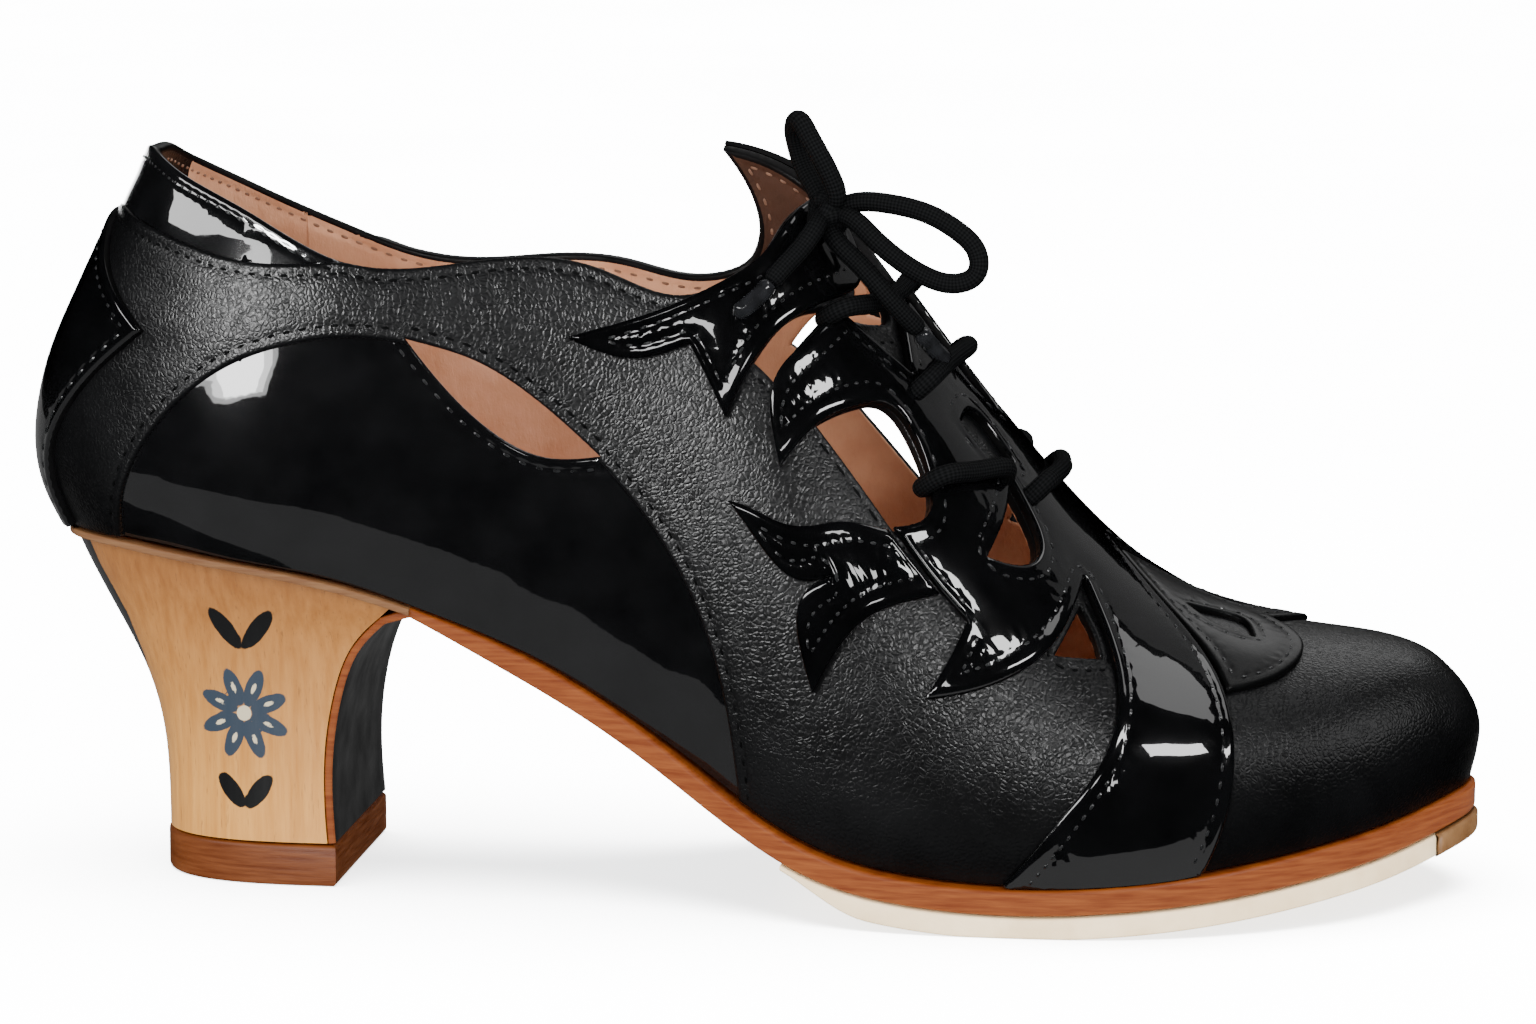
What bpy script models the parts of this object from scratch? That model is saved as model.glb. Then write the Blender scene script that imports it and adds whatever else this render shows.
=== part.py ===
"""A lace-up flamenco shoe for the right foot: patent and matte leather upper with cut-out flames,
leather sole, waisted wooden heel.

Sizes are in millimetres and become metres where a mesh is made. X runs to the toe, +Y is the inner
(medial) side, Z is up, and the origin is the middle of the heel tip's floor face. Everything on the
upper is placed on the last by two numbers: along, the distance in millimetres along the side from the
back seam, and climb, the share of the way up from the feather edge (0) to the ridge (1).
"""

import math

import bmesh
import bpy
import numpy as np
from mathutils import Vector
from mathutils.geometry import delaunay_2d_cdt

MM = 0.001
QUARTER_TURN = math.pi / 2

# The last: length, ends and sections
HEEL_X = -36.4
TOE_X = 204.6
HEEL_ROUND = 27.0
TOE_ROUND = 26.0
LAST_LENGTH = TOE_X - HEEL_X
SIDE_LENGTH = LAST_LENGTH + (HEEL_ROUND + TOE_ROUND) * (QUARTER_TURN - 1)
LEAN_REACH = 62.0
TOE_LIP = 1.6
TOE_LIP_REACH = 40.0
TOE_LIP_HEIGHT = 20.0

SECTION_COLUMNS = ("x", "feather_z", "lateral", "medial", "swell_lateral", "swell_medial",
                   "wide_z", "ridge_y", "ridge_z", "fullness")
SECTIONS = [
    (HEEL_X, 58.4, 0.0, 0.0, 0.0, 0.0, 13.0, 0.0, 140.0, 2.2),
    (-33.5, 58.4, 11.2, 11.2, 1.2, 1.2, 13.0, 0.0, 140.0, 2.2),
    (-25.0, 58.2, 19.4, 19.4, 2.0, 2.0, 13.0, 0.0, 140.0, 2.2),
    (-5.0, 56.3, 27.5, 27.0, 2.5, 2.5, 13.0, 0.3, 138.0, 2.2),
    (18.0, 52.8, 30.0, 28.0, 2.0, 2.0, 14.0, 0.6, 136.0, 2.2),
    (35.0, 47.4, 28.7, 25.5, 1.5, 2.0, 15.0, 1.0, 134.0, 2.2),
    (56.0, 37.9, 28.0, 22.5, 1.2, 3.0, 16.0, 1.5, 133.0, 2.2),
    (72.0, 28.3, 30.5, 23.5, 1.2, 3.5, 16.0, 2.0, 132.0, 2.1),
    (88.0, 17.9, 35.5, 27.5, 1.5, 3.0, 14.0, 2.6, 127.0, 2.0),
    (100.0, 12.2, 39.3, 32.0, 2.0, 2.5, 12.0, 3.0, 112.0, 1.9),
    (114.0, 9.2, 42.0, 37.0, 2.2, 2.2, 11.0, 3.0, 92.0, 1.85),
    (130.0, 8.1, 43.0, 41.0, 2.2, 2.2, 10.5, 2.6, 71.5, 1.85),
    (146.0, 8.7, 42.6, 42.0, 2.0, 2.0, 10.0, 2.0, 55.0, 1.95),
    (162.0, 10.3, 38.8, 41.0, 1.8, 1.8, 9.5, 2.0, 46.6, 2.1),
    (177.0, 12.6, 31.6, 36.5, 1.6, 1.6, 9.0, 2.4, 43.6, 2.2),
    (190.0, 15.0, 21.5, 29.0, 1.4, 1.4, 8.5, 3.0, 42.0, 2.25),
    (200.0, 17.2, 8.0, 17.0, 1.0, 1.0, 8.0, 3.6, 37.5, 2.2),
    (TOE_X, 18.5, -4.0, 4.0, 0.0, 0.0, 3.0, 4.0, 25.0, 2.1),
]
BACK_COLUMNS = ("z", "inset")
BACK_LINE = [
    (50.0, 9.0), (58.4, 4.4), (64.0, 1.6), (71.2, 0.0), (80.0, 0.8),
    (92.0, 4.6), (106.0, 11.0), (122.0, 18.3), (140.0, 27.0),
]

# Leather, as levels above the last and thicknesses
GAP = 0.35
LEATHER_LEVEL = -0.5
WALL = 2.1
PATENT_STEP = 0.8
STEP_RUN = 0.8
OVERLAY = 1.0
ORNAMENT = 0.8
OVERLAY_SEAT = 0.55
OVERLAY_LEVEL = LEATHER_LEVEL + OVERLAY_SEAT
OVERLAY_TOP = OVERLAY_LEVEL + OVERLAY

# Spacing of the facets
UPPER_GRID = 6.6
UPPER_EDGE = 4.4
OVERLAY_GRID = 5.5
FILL_CLEAR = 0.55
OVERLAY_EDGE = 4.0
TOE_RIB_POINTS = 3
TOE_RIB_SHARES = (-0.6, -0.2, 0.2, 0.6)
WELD = 0.01
SEAM_INSET = 0.3
NORMAL_REACH = 0.6
NORMAL_SHARE = 0.008
SHARP_ANGLE = math.radians(40)
RIDGE_CLIMB = 1.0

# Outlines on the last, as smooth runs of (along, climb) that meet at corners
OVERLAY_FOOT = 0.015
COLLAR_TOP = 0.78
THROAT_END = (176.5, RIDGE_CLIMB)
THROAT_SIDE = [(148.0, 0.92), (151.0, 0.93), (156.0, 0.94), (162.0, 0.95), (172.0, 0.955), THROAT_END]
COLLAR_LATERAL = [
    [(0.0, COLLAR_TOP), (23.6, 0.725), (39.0, 0.67), (56.3, 0.61), (71.5, 0.55), (92.6, 0.60),
     (113.9, 0.638), (128.0, 0.635), (138.6, 0.715), (143.6, 0.815), (148.0, 0.92)],
    THROAT_SIDE,
]
HORN_TIP = (129.5, 0.86)
COLLAR_MEDIAL = [
    [(0.0, COLLAR_TOP), (20.0, 0.71), (42.6, 0.62), (60.2, 0.56), (74.7, 0.532), (100.1, 0.59),
     (122.3, 0.612), (131.8, 0.67), (134.9, 0.76), HORN_TIP],
    [HORN_TIP, (138.1, 0.872), (148.0, 0.92)],
    THROAT_SIDE,
]
WINDOW_CRESCENT = [
    [(139.6, 0.588), (142.2, 0.635), (146.7, 0.705), (152.0, 0.77)],
    [(152.0, 0.77), (149.0, 0.705), (144.9, 0.62), (143.6, 0.583)],
    [(143.6, 0.583), (139.6, 0.588)],
]
WINDOW_ROUND = [
    [(150.2, 0.58), (157.1, 0.67), (163.5, 0.71), (168.0, 0.65), (163.0, 0.525)],
    [(163.0, 0.525), (155.7, 0.562), (150.2, 0.58)],
]
WINDOW_TEAR = [
    [(179.8, 0.81), (179.8, 0.725), (177.5, 0.59)],
    [(177.5, 0.59), (184.3, 0.645), (185.2, 0.715), (179.8, 0.81)],
]
WINDOW_WEDGE = [
    [(192.9, 0.635), (191.4, 0.56), (189.3, 0.48)],
    [(189.3, 0.48), (196.5, 0.52)],
    [(196.5, 0.52), (195.2, 0.58), (192.9, 0.635)],
]
WINDOW_THROAT = [
    [(152.6, 0.893), (156.0, 0.905), (159.0, 0.9), (160.0, 0.855)],
    [(160.0, 0.855), (157.0, 0.81), (153.5, 0.775)],
    [(153.5, 0.775), (154.9, 0.85), (152.6, 0.893)],
]
WINDOW_SLIT = [
    [(82.6, 0.447), (93.0, 0.444), (104.0, 0.41), (114.4, 0.362)],
    [(114.4, 0.362), (104.8, 0.325), (96.0, 0.34), (82.6, 0.447)],
]
QUARTER_LOW = [
    (29.5, 0.0), (37.2, 0.18), (48.6, 0.315), (64.0, 0.395), (84.9, 0.44), (108.0, 0.385),
    (123.9, 0.29), (134.8, 0.135), (137.5, 0.0),
]
QUARTER_TOP = [(0.0, 0.665), (10.0, 0.648), (24.5, 0.60), (41.8, 0.55), (58.0, 0.525), (76.0, 0.56)]
COUNTER_WING = (36.3, 0.39)
COUNTER_EDGE = [
    [(14.0, OVERLAY_FOOT), (15.9, 0.155), (22.5, 0.26), COUNTER_WING],
    [COUNTER_WING, (28.1, 0.455), (19.0, 0.54), (8.0, 0.64), (0.0, 0.66)],
]
STRAP_FRONT = [(195.5, RIDGE_CLIMB), (206.5, 0.77), (213.7, 0.575), (217.8, 0.345), (216.5, 0.125),
               (213.3, OVERLAY_FOOT)]
STRAP_REAR = [(181.6, OVERLAY_FOOT), (193.4, 0.19), (199.3, 0.37), (199.0, 0.47), (192.5, 0.71)]
STRAP_BELT = [(190.0, 0.08), (215.0, 0.08)]
FLAME_TIP_LOW = (168.9, 0.295)
FLAME_TIP_REAR = (144.5, 0.48)
NOTCH = (163.5, 0.80)
VAMP_FLAMES = [
    [(192.5, 0.71), (189.7, 0.525), (182.9, 0.4), FLAME_TIP_LOW],
    [FLAME_TIP_LOW, (172.5, 0.375), (175.2, 0.455)],
    [(175.2, 0.455), (168.0, 0.495), (163.0, 0.528)],
    [(163.0, 0.528), (168.0, 0.65), (163.5, 0.71), (157.1, 0.67), (150.2, 0.58), FLAME_TIP_REAR],
    [FLAME_TIP_REAR, (142.6, 0.54), (147.2, 0.665), (152.2, 0.768)],
    [(152.2, 0.768), NOTCH],
    [NOTCH, (161.2, 0.89), (159.5, 0.945)],
    [(159.5, 0.945), (165.0, 0.952), (172.0, 0.957), THROAT_END],
]
LEAF = [
    [(171.6, 0.81), (174.3, 0.885), (179.8, 0.865)],
    [(179.8, 0.865), (176.0, 0.8), (171.6, 0.81)],
]
FLAME_SPIKE = (135.4, 0.495)
FISHTAIL = (108.7, 0.52)
FLAME_NOTCH = (129.1, 0.57)
FLAME_UPPER_END = [
    [(148.0, 0.92), (151.0, 0.925), (154.4, 0.897)],
    [(154.4, 0.897), (154.9, 0.86), (152.2, 0.79)],
    [(152.2, 0.79), (146.7, 0.705), (142.2, 0.635), FLAME_SPIKE],
    [FLAME_SPIKE, FLAME_NOTCH],
    [FLAME_NOTCH, (119.0, 0.52), FISHTAIL],
]
FLAME_UPPER_LATERAL = [
    [FISHTAIL, (120.9, 0.585), (131.0, 0.646), (138.6, 0.713), (143.6, 0.813), (148.0, 0.92)],
] + FLAME_UPPER_END
FLAME_UPPER_MEDIAL = [
    [FISHTAIL, (120.9, 0.575), (129.0, 0.632), (134.7, 0.755), HORN_TIP],
    [HORN_TIP, (138.1, 0.872), (148.0, 0.92)],
] + FLAME_UPPER_END
FLAME_LOWER = [
    [(136.2, 0.39), (143.0, 0.405), (154.3, 0.475), (162.0, 0.517)],
    [(162.0, 0.517), (170.5, 0.472)],
    [(170.5, 0.472), (159.3, 0.37), (150.7, 0.22)],
    [(150.7, 0.22), (148.2, 0.28), (153.4, 0.395)],
    [(153.4, 0.395), (144.0, 0.352), (136.2, 0.39)],
]
ORNAMENT_EDGE = [
    [(197.0, RIDGE_CLIMB), (207.4, 0.77), (214.6, 0.575), (216.4, 0.49)],
    [(216.4, 0.49), (224.2, 0.56), (228.2, 0.765), (222.5, RIDGE_CLIMB)],
]
ORNAMENT_EYE = [
    [(209.0, 0.875), (213.7, 0.805), (220.1, 0.765)],
    [(220.1, 0.765), (217.0, 0.91), (209.0, 0.875)],
]

# Sole: thickness under the feather edge, plan offset from it, and the heel's rings from top to bottom
SEAT_GAP = 0.3
OUTSOLE_COLUMNS = ("x", "thick", "out")
OUTSOLE_ROWS = [
    (31.0, 1.6, -0.6), (44.0, 3.6, 0.0), (60.0, 4.6, 0.5), (86.0, 4.6, 1.4), (110.0, 4.3, 2.0),
    (150.0, 4.3, 1.8), (185.0, 4.8, 1.0), (TOE_X, 4.8, 0.4),
]
OUTSOLE_RINGS = 34
BREAST_GAP = 0.6
FLAP = 1.3
FLAP_STEP = 6.0
HEEL_COLUMNS = ("back_x", "back_z", "breast_x", "breast_z", "half_width", "square")
HEEL_RINGS = [
    (-30.8, 56.3, 27.6, 47.7, 27.4, 2.25),
    (-28.4, 51.6, 24.6, 45.6, 25.6, 2.3),
    (-25.2, 45.6, 20.4, 41.0, 23.6, 2.35),
    (-20.9, 37.9, 17.6, 34.8, 22.5, 2.45),
    (-17.6, 30.2, 16.0, 28.0, 22.0, 2.55),
    (-15.7, 21.6, 15.2, 21.0, 21.9, 2.65),
    (-15.1, 13.0, 15.2, 13.0, 21.9, 2.75),
    (-15.0, 7.4, 15.6, 7.4, 22.0, 2.8),
]
HEEL_AROUND = 20
HEEL_TIP = 7.05
HEEL_TIP_OUT = 0.9
SEAT_RAND = 1.2
SEAT_END = 26.6
SEAT_RINGS = 11
HEEL_DROP = SEAT_GAP + SEAT_RAND + SEAT_GAP
HALF_SOLE = 3.2
HALF_SOLE_FLAT = 0.35
HALF_SOLE_REAR = 94.0
HALF_SOLE_FRONT = 197.5
HALF_SOLE_TAPER = 14.0
HALF_SOLE_REAR_SHARE = 0.25
HALF_SOLE_RINGS = 22
TOE_PLATE = 3.6
TOE_PLATE_OUT = 0.5
TOE_PLATE_REAR = 198.2
TOE_PLATE_RINGS = 8
INSOLE = 2.4
INSOLE_LIFT = 0.15
INSOLE_INSET = WALL + 1.0
INSOLE_RINGS = 30
TIP_CUT = 0.7

# Lace, in places on the last: side, along, climb and level of its middle
LACE = 3.3
LACE_POINT_STEP = 4.5
LACE_RESOLUTION = 2
LACE_LEVEL = OVERLAY_TOP + GAP + LACE / 2
LACE_BAR_LOW = [(168.7, 0.65), (173.3, 0.708), (177.8, 0.775)]
LACE_CROSSINGS = {
    "lace_bar_vamp": [(183.3, 0.83), (184.8, 0.92), (185.3, RIDGE_CLIMB)],
    "lace_bar_middle": [(165.1, 0.792), (166.9, 0.858), (169.2, RIDGE_CLIMB)],
    "lace_bar_top": [(151.8, 0.755), (155.1, 0.80), (158.8, 0.88), (160.2, RIDGE_CLIMB)],
}
KNOT_PLACE = (147.2, 0.845)
KNOT_HALF = (4.2, 3.6, 3.2)
KNOT_SEGMENTS = 10
KNOT_RINGS = 7
KNOT_LEVEL = OVERLAY_TOP + GAP + KNOT_HALF[2]
LACE_ENDS = {
    "lace_end_rear": [
        (145.6, 0.80, 5.6), (144.6, 0.765, 4.6), (142.4, 0.717, 3.6), (139.8, 0.668, 3.2),
        (136.6, 0.628, 3.2),
    ],
    "lace_end_front": [
        (149.2, 0.815, 5.2), (151.0, 0.812, 5.9), (154.2, 0.806, 6.8), (157.9, 0.808, 6.8),
        (161.6, 0.826, 6.4), (164.6, 0.853, 6.8), (167.8, 0.892, 7.0),
    ],
}
LACE_LOOPS = {
    "lace_loop_upper": [
        (97.1, -16.8, 117.0), (95.0, -16.4, 120.4), (92.9, -15.4, 123.6), (92.0, -14.6, 126.6),
        (93.4, -15.0, 128.4), (96.2, -16.4, 126.4), (98.9, -17.8, 122.6), (100.2, -17.8, 118.0),
    ],
    "lace_loop_front": [
        (102.6, -16.8, 114.9), (108.6, -18.0, 115.0), (115.4, -19.0, 113.4), (120.3, -19.4, 110.6),
        (123.2, -19.6, 107.2), (123.0, -19.8, 103.9), (120.0, -20.0, 102.4), (115.6, -20.2, 103.2),
        (110.8, -20.6, 106.0), (106.2, -20.4, 109.8), (102.5, -18.4, 112.6),
    ],
}

# Colours of the leathers, wood and lace
MATTE_BLACK = (0.021, 0.021, 0.022)
PATENT_BLACK = (0.006, 0.006, 0.007)
LACE_BLACK = (0.008, 0.008, 0.008)
TAN_LINING = (0.42, 0.20, 0.12)
SOLE_BROWN = (0.40, 0.14, 0.045)
SOLE_CREAM = (0.84, 0.74, 0.60)
BRONZE = (0.30, 0.16, 0.06)
HEEL_WOOD = (0.72, 0.44, 0.20)
TIP_BROWN = (0.22, 0.075, 0.022)


def spline(xs, ys):
    """Natural cubic through the points, as a function."""
    xs = np.asarray(xs, float)
    ys = np.asarray(ys, float)
    count = len(xs)
    step = np.diff(xs)
    matrix = np.eye(count)
    right = np.zeros(count)
    for i in range(1, count - 1):
        matrix[i, i - 1:i + 2] = step[i - 1], 2 * (step[i - 1] + step[i]), step[i]
        right[i] = 6 * ((ys[i + 1] - ys[i]) / step[i] - (ys[i] - ys[i - 1]) / step[i - 1])
    bend = np.linalg.solve(matrix, right)

    def value(x):
        x = np.asarray(x, float)
        i = np.clip(np.searchsorted(xs, x) - 1, 0, count - 2)
        t = x - xs[i]
        slope = (ys[i + 1] - ys[i]) / step[i] - step[i] * (2 * bend[i] + bend[i + 1]) / 6
        return ys[i] + t * (slope + t * (bend[i] / 2 + t * (bend[i + 1] - bend[i]) / (6 * step[i])))

    return value


def columns(names, rows, against=None):
    """Each column of a table as a curve over its first column, or over that column's places."""
    places = [row[0] for row in rows] if against is None else against
    return {name: spline(places, [row[i] for row in rows]) for i, name in enumerate(names) if i}


def ease(share):
    """Smooth step from 0 to 1."""
    share = np.clip(share, 0, 1)
    return share * share * (3 - 2 * share)


def station_x(along):
    """x of a section, from its distance along the side."""
    along = np.asarray(along, float)
    heel_turn = np.clip(along / HEEL_ROUND, 0, QUARTER_TURN)
    toe_turn = np.clip((SIDE_LENGTH - along) / TOE_ROUND, 0, QUARTER_TURN)
    start = HEEL_ROUND * QUARTER_TURN
    straight = np.clip(along, start, SIDE_LENGTH - TOE_ROUND * QUARTER_TURN) - start
    return HEEL_X + HEEL_ROUND * (1 - np.cos(heel_turn)) + straight + TOE_ROUND * np.cos(toe_turn)


ALONG_GRID = np.linspace(0, SIDE_LENGTH, 2001)


def along_at(x):
    """Distance along the side of the section at x."""
    return np.interp(x, station_x(ALONG_GRID), ALONG_GRID)


LAST = columns(SECTION_COLUMNS, SECTIONS, [along_at(row[0]) for row in SECTIONS])
BACK = columns(BACK_COLUMNS, BACK_LINE)["inset"]
BACK_RANGE = (BACK_LINE[0][0], BACK_LINE[-1][0])
LOW_SAMPLES = np.linspace(1, 0, 9)
HIGH_SAMPLES = np.linspace(0, QUARTER_TURN, 90)


def half_section(along, side):
    """Sampled half sections at many stations: distance up the section, y and z, and the feather z."""
    at = {name: curve(along)[:, None] for name, curve in LAST.items()}
    width, swell = ("lateral", "swell_lateral") if side < 0 else ("medial", "swell_medial")
    wide_z = at["feather_z"] + at["wide_z"]
    widest = at[width] + at[swell]
    ridge_y = side * at["ridge_y"]
    power = 2 / at["fullness"]
    low_y = at[width] + at[swell] * (1 - LOW_SAMPLES**2)
    low_z = wide_z - at["wide_z"] * LOW_SAMPLES
    high_y = ridge_y + (widest - ridge_y) * np.cos(HIGH_SAMPLES)**power
    high_z = wide_z + (at["ridge_z"] - wide_z) * np.sin(HIGH_SAMPLES)**power
    y = np.concatenate([low_y[:, :-1], high_y], axis=1)
    z = np.concatenate([low_z[:, :-1], high_z], axis=1)
    run = np.hypot(np.diff(y, axis=1), np.diff(z, axis=1)).cumsum(axis=1)
    run = np.concatenate([np.zeros((len(run), 1)), run], axis=1)
    return run, side * y, z, at["feather_z"][:, 0]


def last_surface(along, across):
    """Points of the last. across is -1 at the lateral feather edge, 0 at the ridge, 1 at the medial edge."""
    along = np.clip(np.asarray(along, float), 0, SIDE_LENGTH)
    across = np.asarray(across, float)
    points = np.zeros((len(along), 3))
    for side in (-1, 1):
        chosen = np.nonzero((across < 0) == (side < 0))[0]
        if not len(chosen):
            continue
        a = along[chosen]
        run, y, z, feather_z = half_section(a, side)
        goal = (1 - np.abs(across[chosen])) * run[:, -1]
        i = np.clip((run <= goal[:, None]).sum(axis=1) - 1, 0, run.shape[1] - 2)
        row = np.arange(len(a))
        t = (goal - run[row, i]) / (run[row, i + 1] - run[row, i])
        y = y[row, i] + t * (y[row, i + 1] - y[row, i])
        z = z[row, i] + t * (z[row, i + 1] - z[row, i])
        lean = ease(1 - a / LEAN_REACH) * BACK(np.clip(z, *BACK_RANGE))
        bulge = np.sin(math.pi * np.clip((z - feather_z) / TOE_LIP_HEIGHT, 0, 1))
        lip = ease(1 - (SIDE_LENGTH - a) / TOE_LIP_REACH) * TOE_LIP * bulge
        points[chosen] = np.stack([station_x(a) + lean + lip, y, z], axis=1)
    return points


def raw_normal(along, across):
    """Unit normals of the last from nearby points, read a little way in from the seams."""
    along = np.clip(along, SEAM_INSET, SIDE_LENGTH - SEAM_INSET)
    before = np.clip(along - NORMAL_REACH, 0, SIDE_LENGTH)
    after = np.clip(along + NORMAL_REACH, 0, SIDE_LENGTH)
    left = np.clip(across - NORMAL_SHARE, -1, 1)
    right = np.clip(across + NORMAL_SHARE, -1, 1)
    forward = last_surface(after, across) - last_surface(before, across)
    sideways = last_surface(along, right) - last_surface(along, left)
    normal = np.cross(forward, sideways)
    return normal / np.linalg.norm(normal, axis=1, keepdims=True)


def last_normal(along, across):
    """Outward unit normals of the last, the same for both sides on the back and toe seams."""
    along = np.asarray(along, float)
    across = np.asarray(across, float)
    normal = raw_normal(along, across)
    seam_points = (along < WELD) | (along > SIDE_LENGTH - WELD)
    if seam_points.any():
        normal[seam_points] += raw_normal(along[seam_points], -across[seam_points])
        normal[seam_points, 1] = 0
    return normal / np.linalg.norm(normal, axis=1, keepdims=True)


def on_last(along, across, level):
    """Points at a height above the last."""
    return last_surface(along, across) + np.asarray(level)[..., None] * last_normal(along, across)


GIRTH_STATIONS = np.linspace(0, SIDE_LENGTH, 60)
GIRTH = spline(GIRTH_STATIONS, sum(half_section(GIRTH_STATIONS, side)[0][:, -1] for side in (-1, 1)) / 2)


def chart(points, side):
    """Flat chart of (along, climb) points: x is along, y is the distance from the ridge, lateral negative."""
    points = np.asarray(points, float)
    return np.stack([points[:, 0], side * (1 - points[:, 1]) * GIRTH(points[:, 0])], axis=1)


def smooth_run(points, spacing):
    """Evenly spaced points on a smooth curve through the given points, both ends kept."""
    points = np.asarray(points, float)
    chord = np.concatenate([[0], np.linalg.norm(np.diff(points, axis=0), axis=1).cumsum()])
    if len(points) > 2:
        fine = np.linspace(0, chord[-1], 40 * len(points))
        points = np.stack([spline(chord, points[:, k])(fine) for k in range(points.shape[1])], axis=1)
        chord = np.concatenate([[0], np.linalg.norm(np.diff(points, axis=0), axis=1).cumsum()])
    count = max(1, round(chord[-1] / spacing))
    goal = np.linspace(0, chord[-1], count + 1)
    return np.stack([np.interp(goal, chord, points[:, k]) for k in range(points.shape[1])], axis=1)


def trace(runs, side, spacing):
    """Open outline on the chart: the runs one after another, without the last point of each but the last."""
    parts = [smooth_run(chart(run, side), spacing) for run in runs]
    return np.concatenate([part[:-1] for part in parts] + [parts[-1][-1:]])


def closed(runs, side, spacing):
    """Closed outline on the chart."""
    return trace(runs, side, spacing)[:-1]


def feather(start, end, side, spacing, climb=0.0):
    """Chart points along the feather edge, or a little above it."""
    count = max(1, round(abs(end - start) / spacing))
    stations = np.linspace(start, end, count + 1)
    return chart(np.stack([stations, 0 * stations + climb], axis=1), side)


def seam(along, low, high, side, spacing):
    """Chart points up a section, from one climb to another."""
    count = max(1, round(abs(high - low) * float(GIRTH(along)) / spacing))
    climbs = np.linspace(low, high, count + 1)
    return chart(np.stack([0 * climbs + along, climbs], axis=1), side)


def inside(points, polygon):
    """Which chart points lie inside a polygon."""
    x = points[:, 0][:, None]
    y = points[:, 1][:, None]
    x0, y0 = polygon[:, 0], polygon[:, 1]
    x1, y1 = np.roll(x0, -1), np.roll(y0, -1)
    crosses = (y0 > y) != (y1 > y)
    with np.errstate(divide="ignore", invalid="ignore"):
        at = x0 + (y - y0) * (x1 - x0) / (y1 - y0)
    return (crosses & (x < at)).sum(axis=1) % 2 == 1


def fill_points(outlines, holes, lines, grid):
    """Staggered points inside the outlines, clear of every edge."""
    edge = np.concatenate(outlines + holes + lines)
    low = edge.min(axis=0)
    high = edge.max(axis=0)
    rows = []
    for i, y in enumerate(np.arange(low[1], high[1], grid * math.sqrt(3) / 2)):
        xs = np.arange(low[0] + (i % 2) * grid / 2, high[0], grid)
        rows.append(np.stack([xs, 0 * xs + y], axis=1))
    points = np.concatenate(rows)
    keep = np.any([inside(points, outline) for outline in outlines], axis=0)
    for hole in holes:
        keep &= ~inside(points, hole)
    points = points[keep]
    clear = np.array([np.hypot(*(edge - point).T).min() for point in points]) > FILL_CLEAR * grid
    return points[clear]


def triangulate(outlines, holes, lines, grid):
    """Chart points and triangles of the outlines less the holes, with edges along the lines."""
    points = []
    edges = []
    for loop in outlines + holes:
        first = len(points)
        points += list(loop)
        edges += [(first + i, first + (i + 1) % len(loop)) for i in range(len(loop))]
    for line in lines:
        first = len(points)
        points += list(line)
        edges += [(first + i, first + i + 1) for i in range(len(line) - 1)]
    points += list(fill_points(outlines, holes, lines, grid))
    found = delaunay_2d_cdt([Vector(point) for point in points], edges, [], 0, 1e-4, False)
    flat = np.array([tuple(v) for v in found[0]])
    faces = np.array([tuple(f) for f in found[2]])
    middle = flat[faces].mean(axis=1)
    keep = np.any([inside(middle, outline) for outline in outlines], axis=0)
    for hole in holes:
        keep &= ~inside(middle, hole)
    faces = faces[keep]
    a, b, c = (flat[faces[:, k]] for k in range(3))
    turn = (b - a)[:, 0] * (c - a)[:, 1] - (b - a)[:, 1] * (c - a)[:, 0]
    faces[turn < 0] = faces[turn < 0][:, ::-1]
    return flat, faces


def material(name, colour, roughness, coat=0.0):
    """A plain finish in the part's colour."""
    made = bpy.data.materials.new(name)
    made.use_nodes = True
    shader = made.node_tree.nodes["Principled BSDF"]
    shader.inputs["Base Color"].default_value = (*colour, 1.0)
    shader.inputs["Roughness"].default_value = roughness
    shader.inputs["Coat Weight"].default_value = coat
    return made


def add_object(name, data, finish):
    """Puts a mesh or curve in the shoe's collection."""
    made = bpy.data.objects.new(name, data)
    data.materials.append(finish)
    SHOE.objects.link(made)
    return made


def add_mesh(name, points, faces, finish, share=None, closed_body=False):
    """A mesh object from millimetre points, with coincident points welded and faces shaded smooth."""
    mesh = bpy.data.meshes.new(name)
    mesh.from_pydata((np.asarray(points) * MM).tolist(), [], [[int(i) for i in face] for face in faces])
    if share is not None:
        mesh.attributes.new("share", "FLOAT", "POINT").data.foreach_set("value", share)
    shape = bmesh.new()
    shape.from_mesh(mesh)
    bmesh.ops.remove_doubles(shape, verts=shape.verts, dist=WELD * MM)
    bmesh.ops.delete(shape, geom=[v for v in shape.verts if not v.link_faces], context="VERTS")
    if closed_body:
        bmesh.ops.recalc_face_normals(shape, faces=shape.faces)
    shape.to_mesh(mesh)
    shape.free()
    mesh.shade_smooth()
    mesh.set_sharp_from_angle(angle=SHARP_ANGLE)
    return add_object(name, mesh, finish)


def solidify(piece, thickness):
    """Gives an open surface its thickness, outwards."""
    shell = piece.modifiers.new("thickness", "SOLIDIFY")
    shell.thickness = thickness * MM
    shell.offset = 1.0
    return shell


def last_patch(name, outlines, holes, level, thickness, finish, lines=()):
    """A piece of leather on the last, from one level outwards."""
    flat, faces = triangulate(outlines, holes, list(lines), OVERLAY_GRID)
    points = on_last(flat[:, 0], flat[:, 1] / GIRTH(flat[:, 0]), np.full(len(flat), level))
    solidify(add_mesh(name, points, faces, finish), thickness)


def both_sides(lateral):
    """Closed outline of a piece that crosses the ridge: its lateral half and that half's mirror image."""
    return np.concatenate([lateral[:-1], (lateral * (1, -1))[::-1][:-1]])


def nudge(line, distance):
    """A line moved sideways on the chart, to the right of its direction."""
    direction = np.gradient(line, axis=0)
    direction /= np.linalg.norm(direction, axis=1, keepdims=True)
    return line + distance * np.stack([direction[:, 1], -direction[:, 0]], axis=1)


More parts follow.
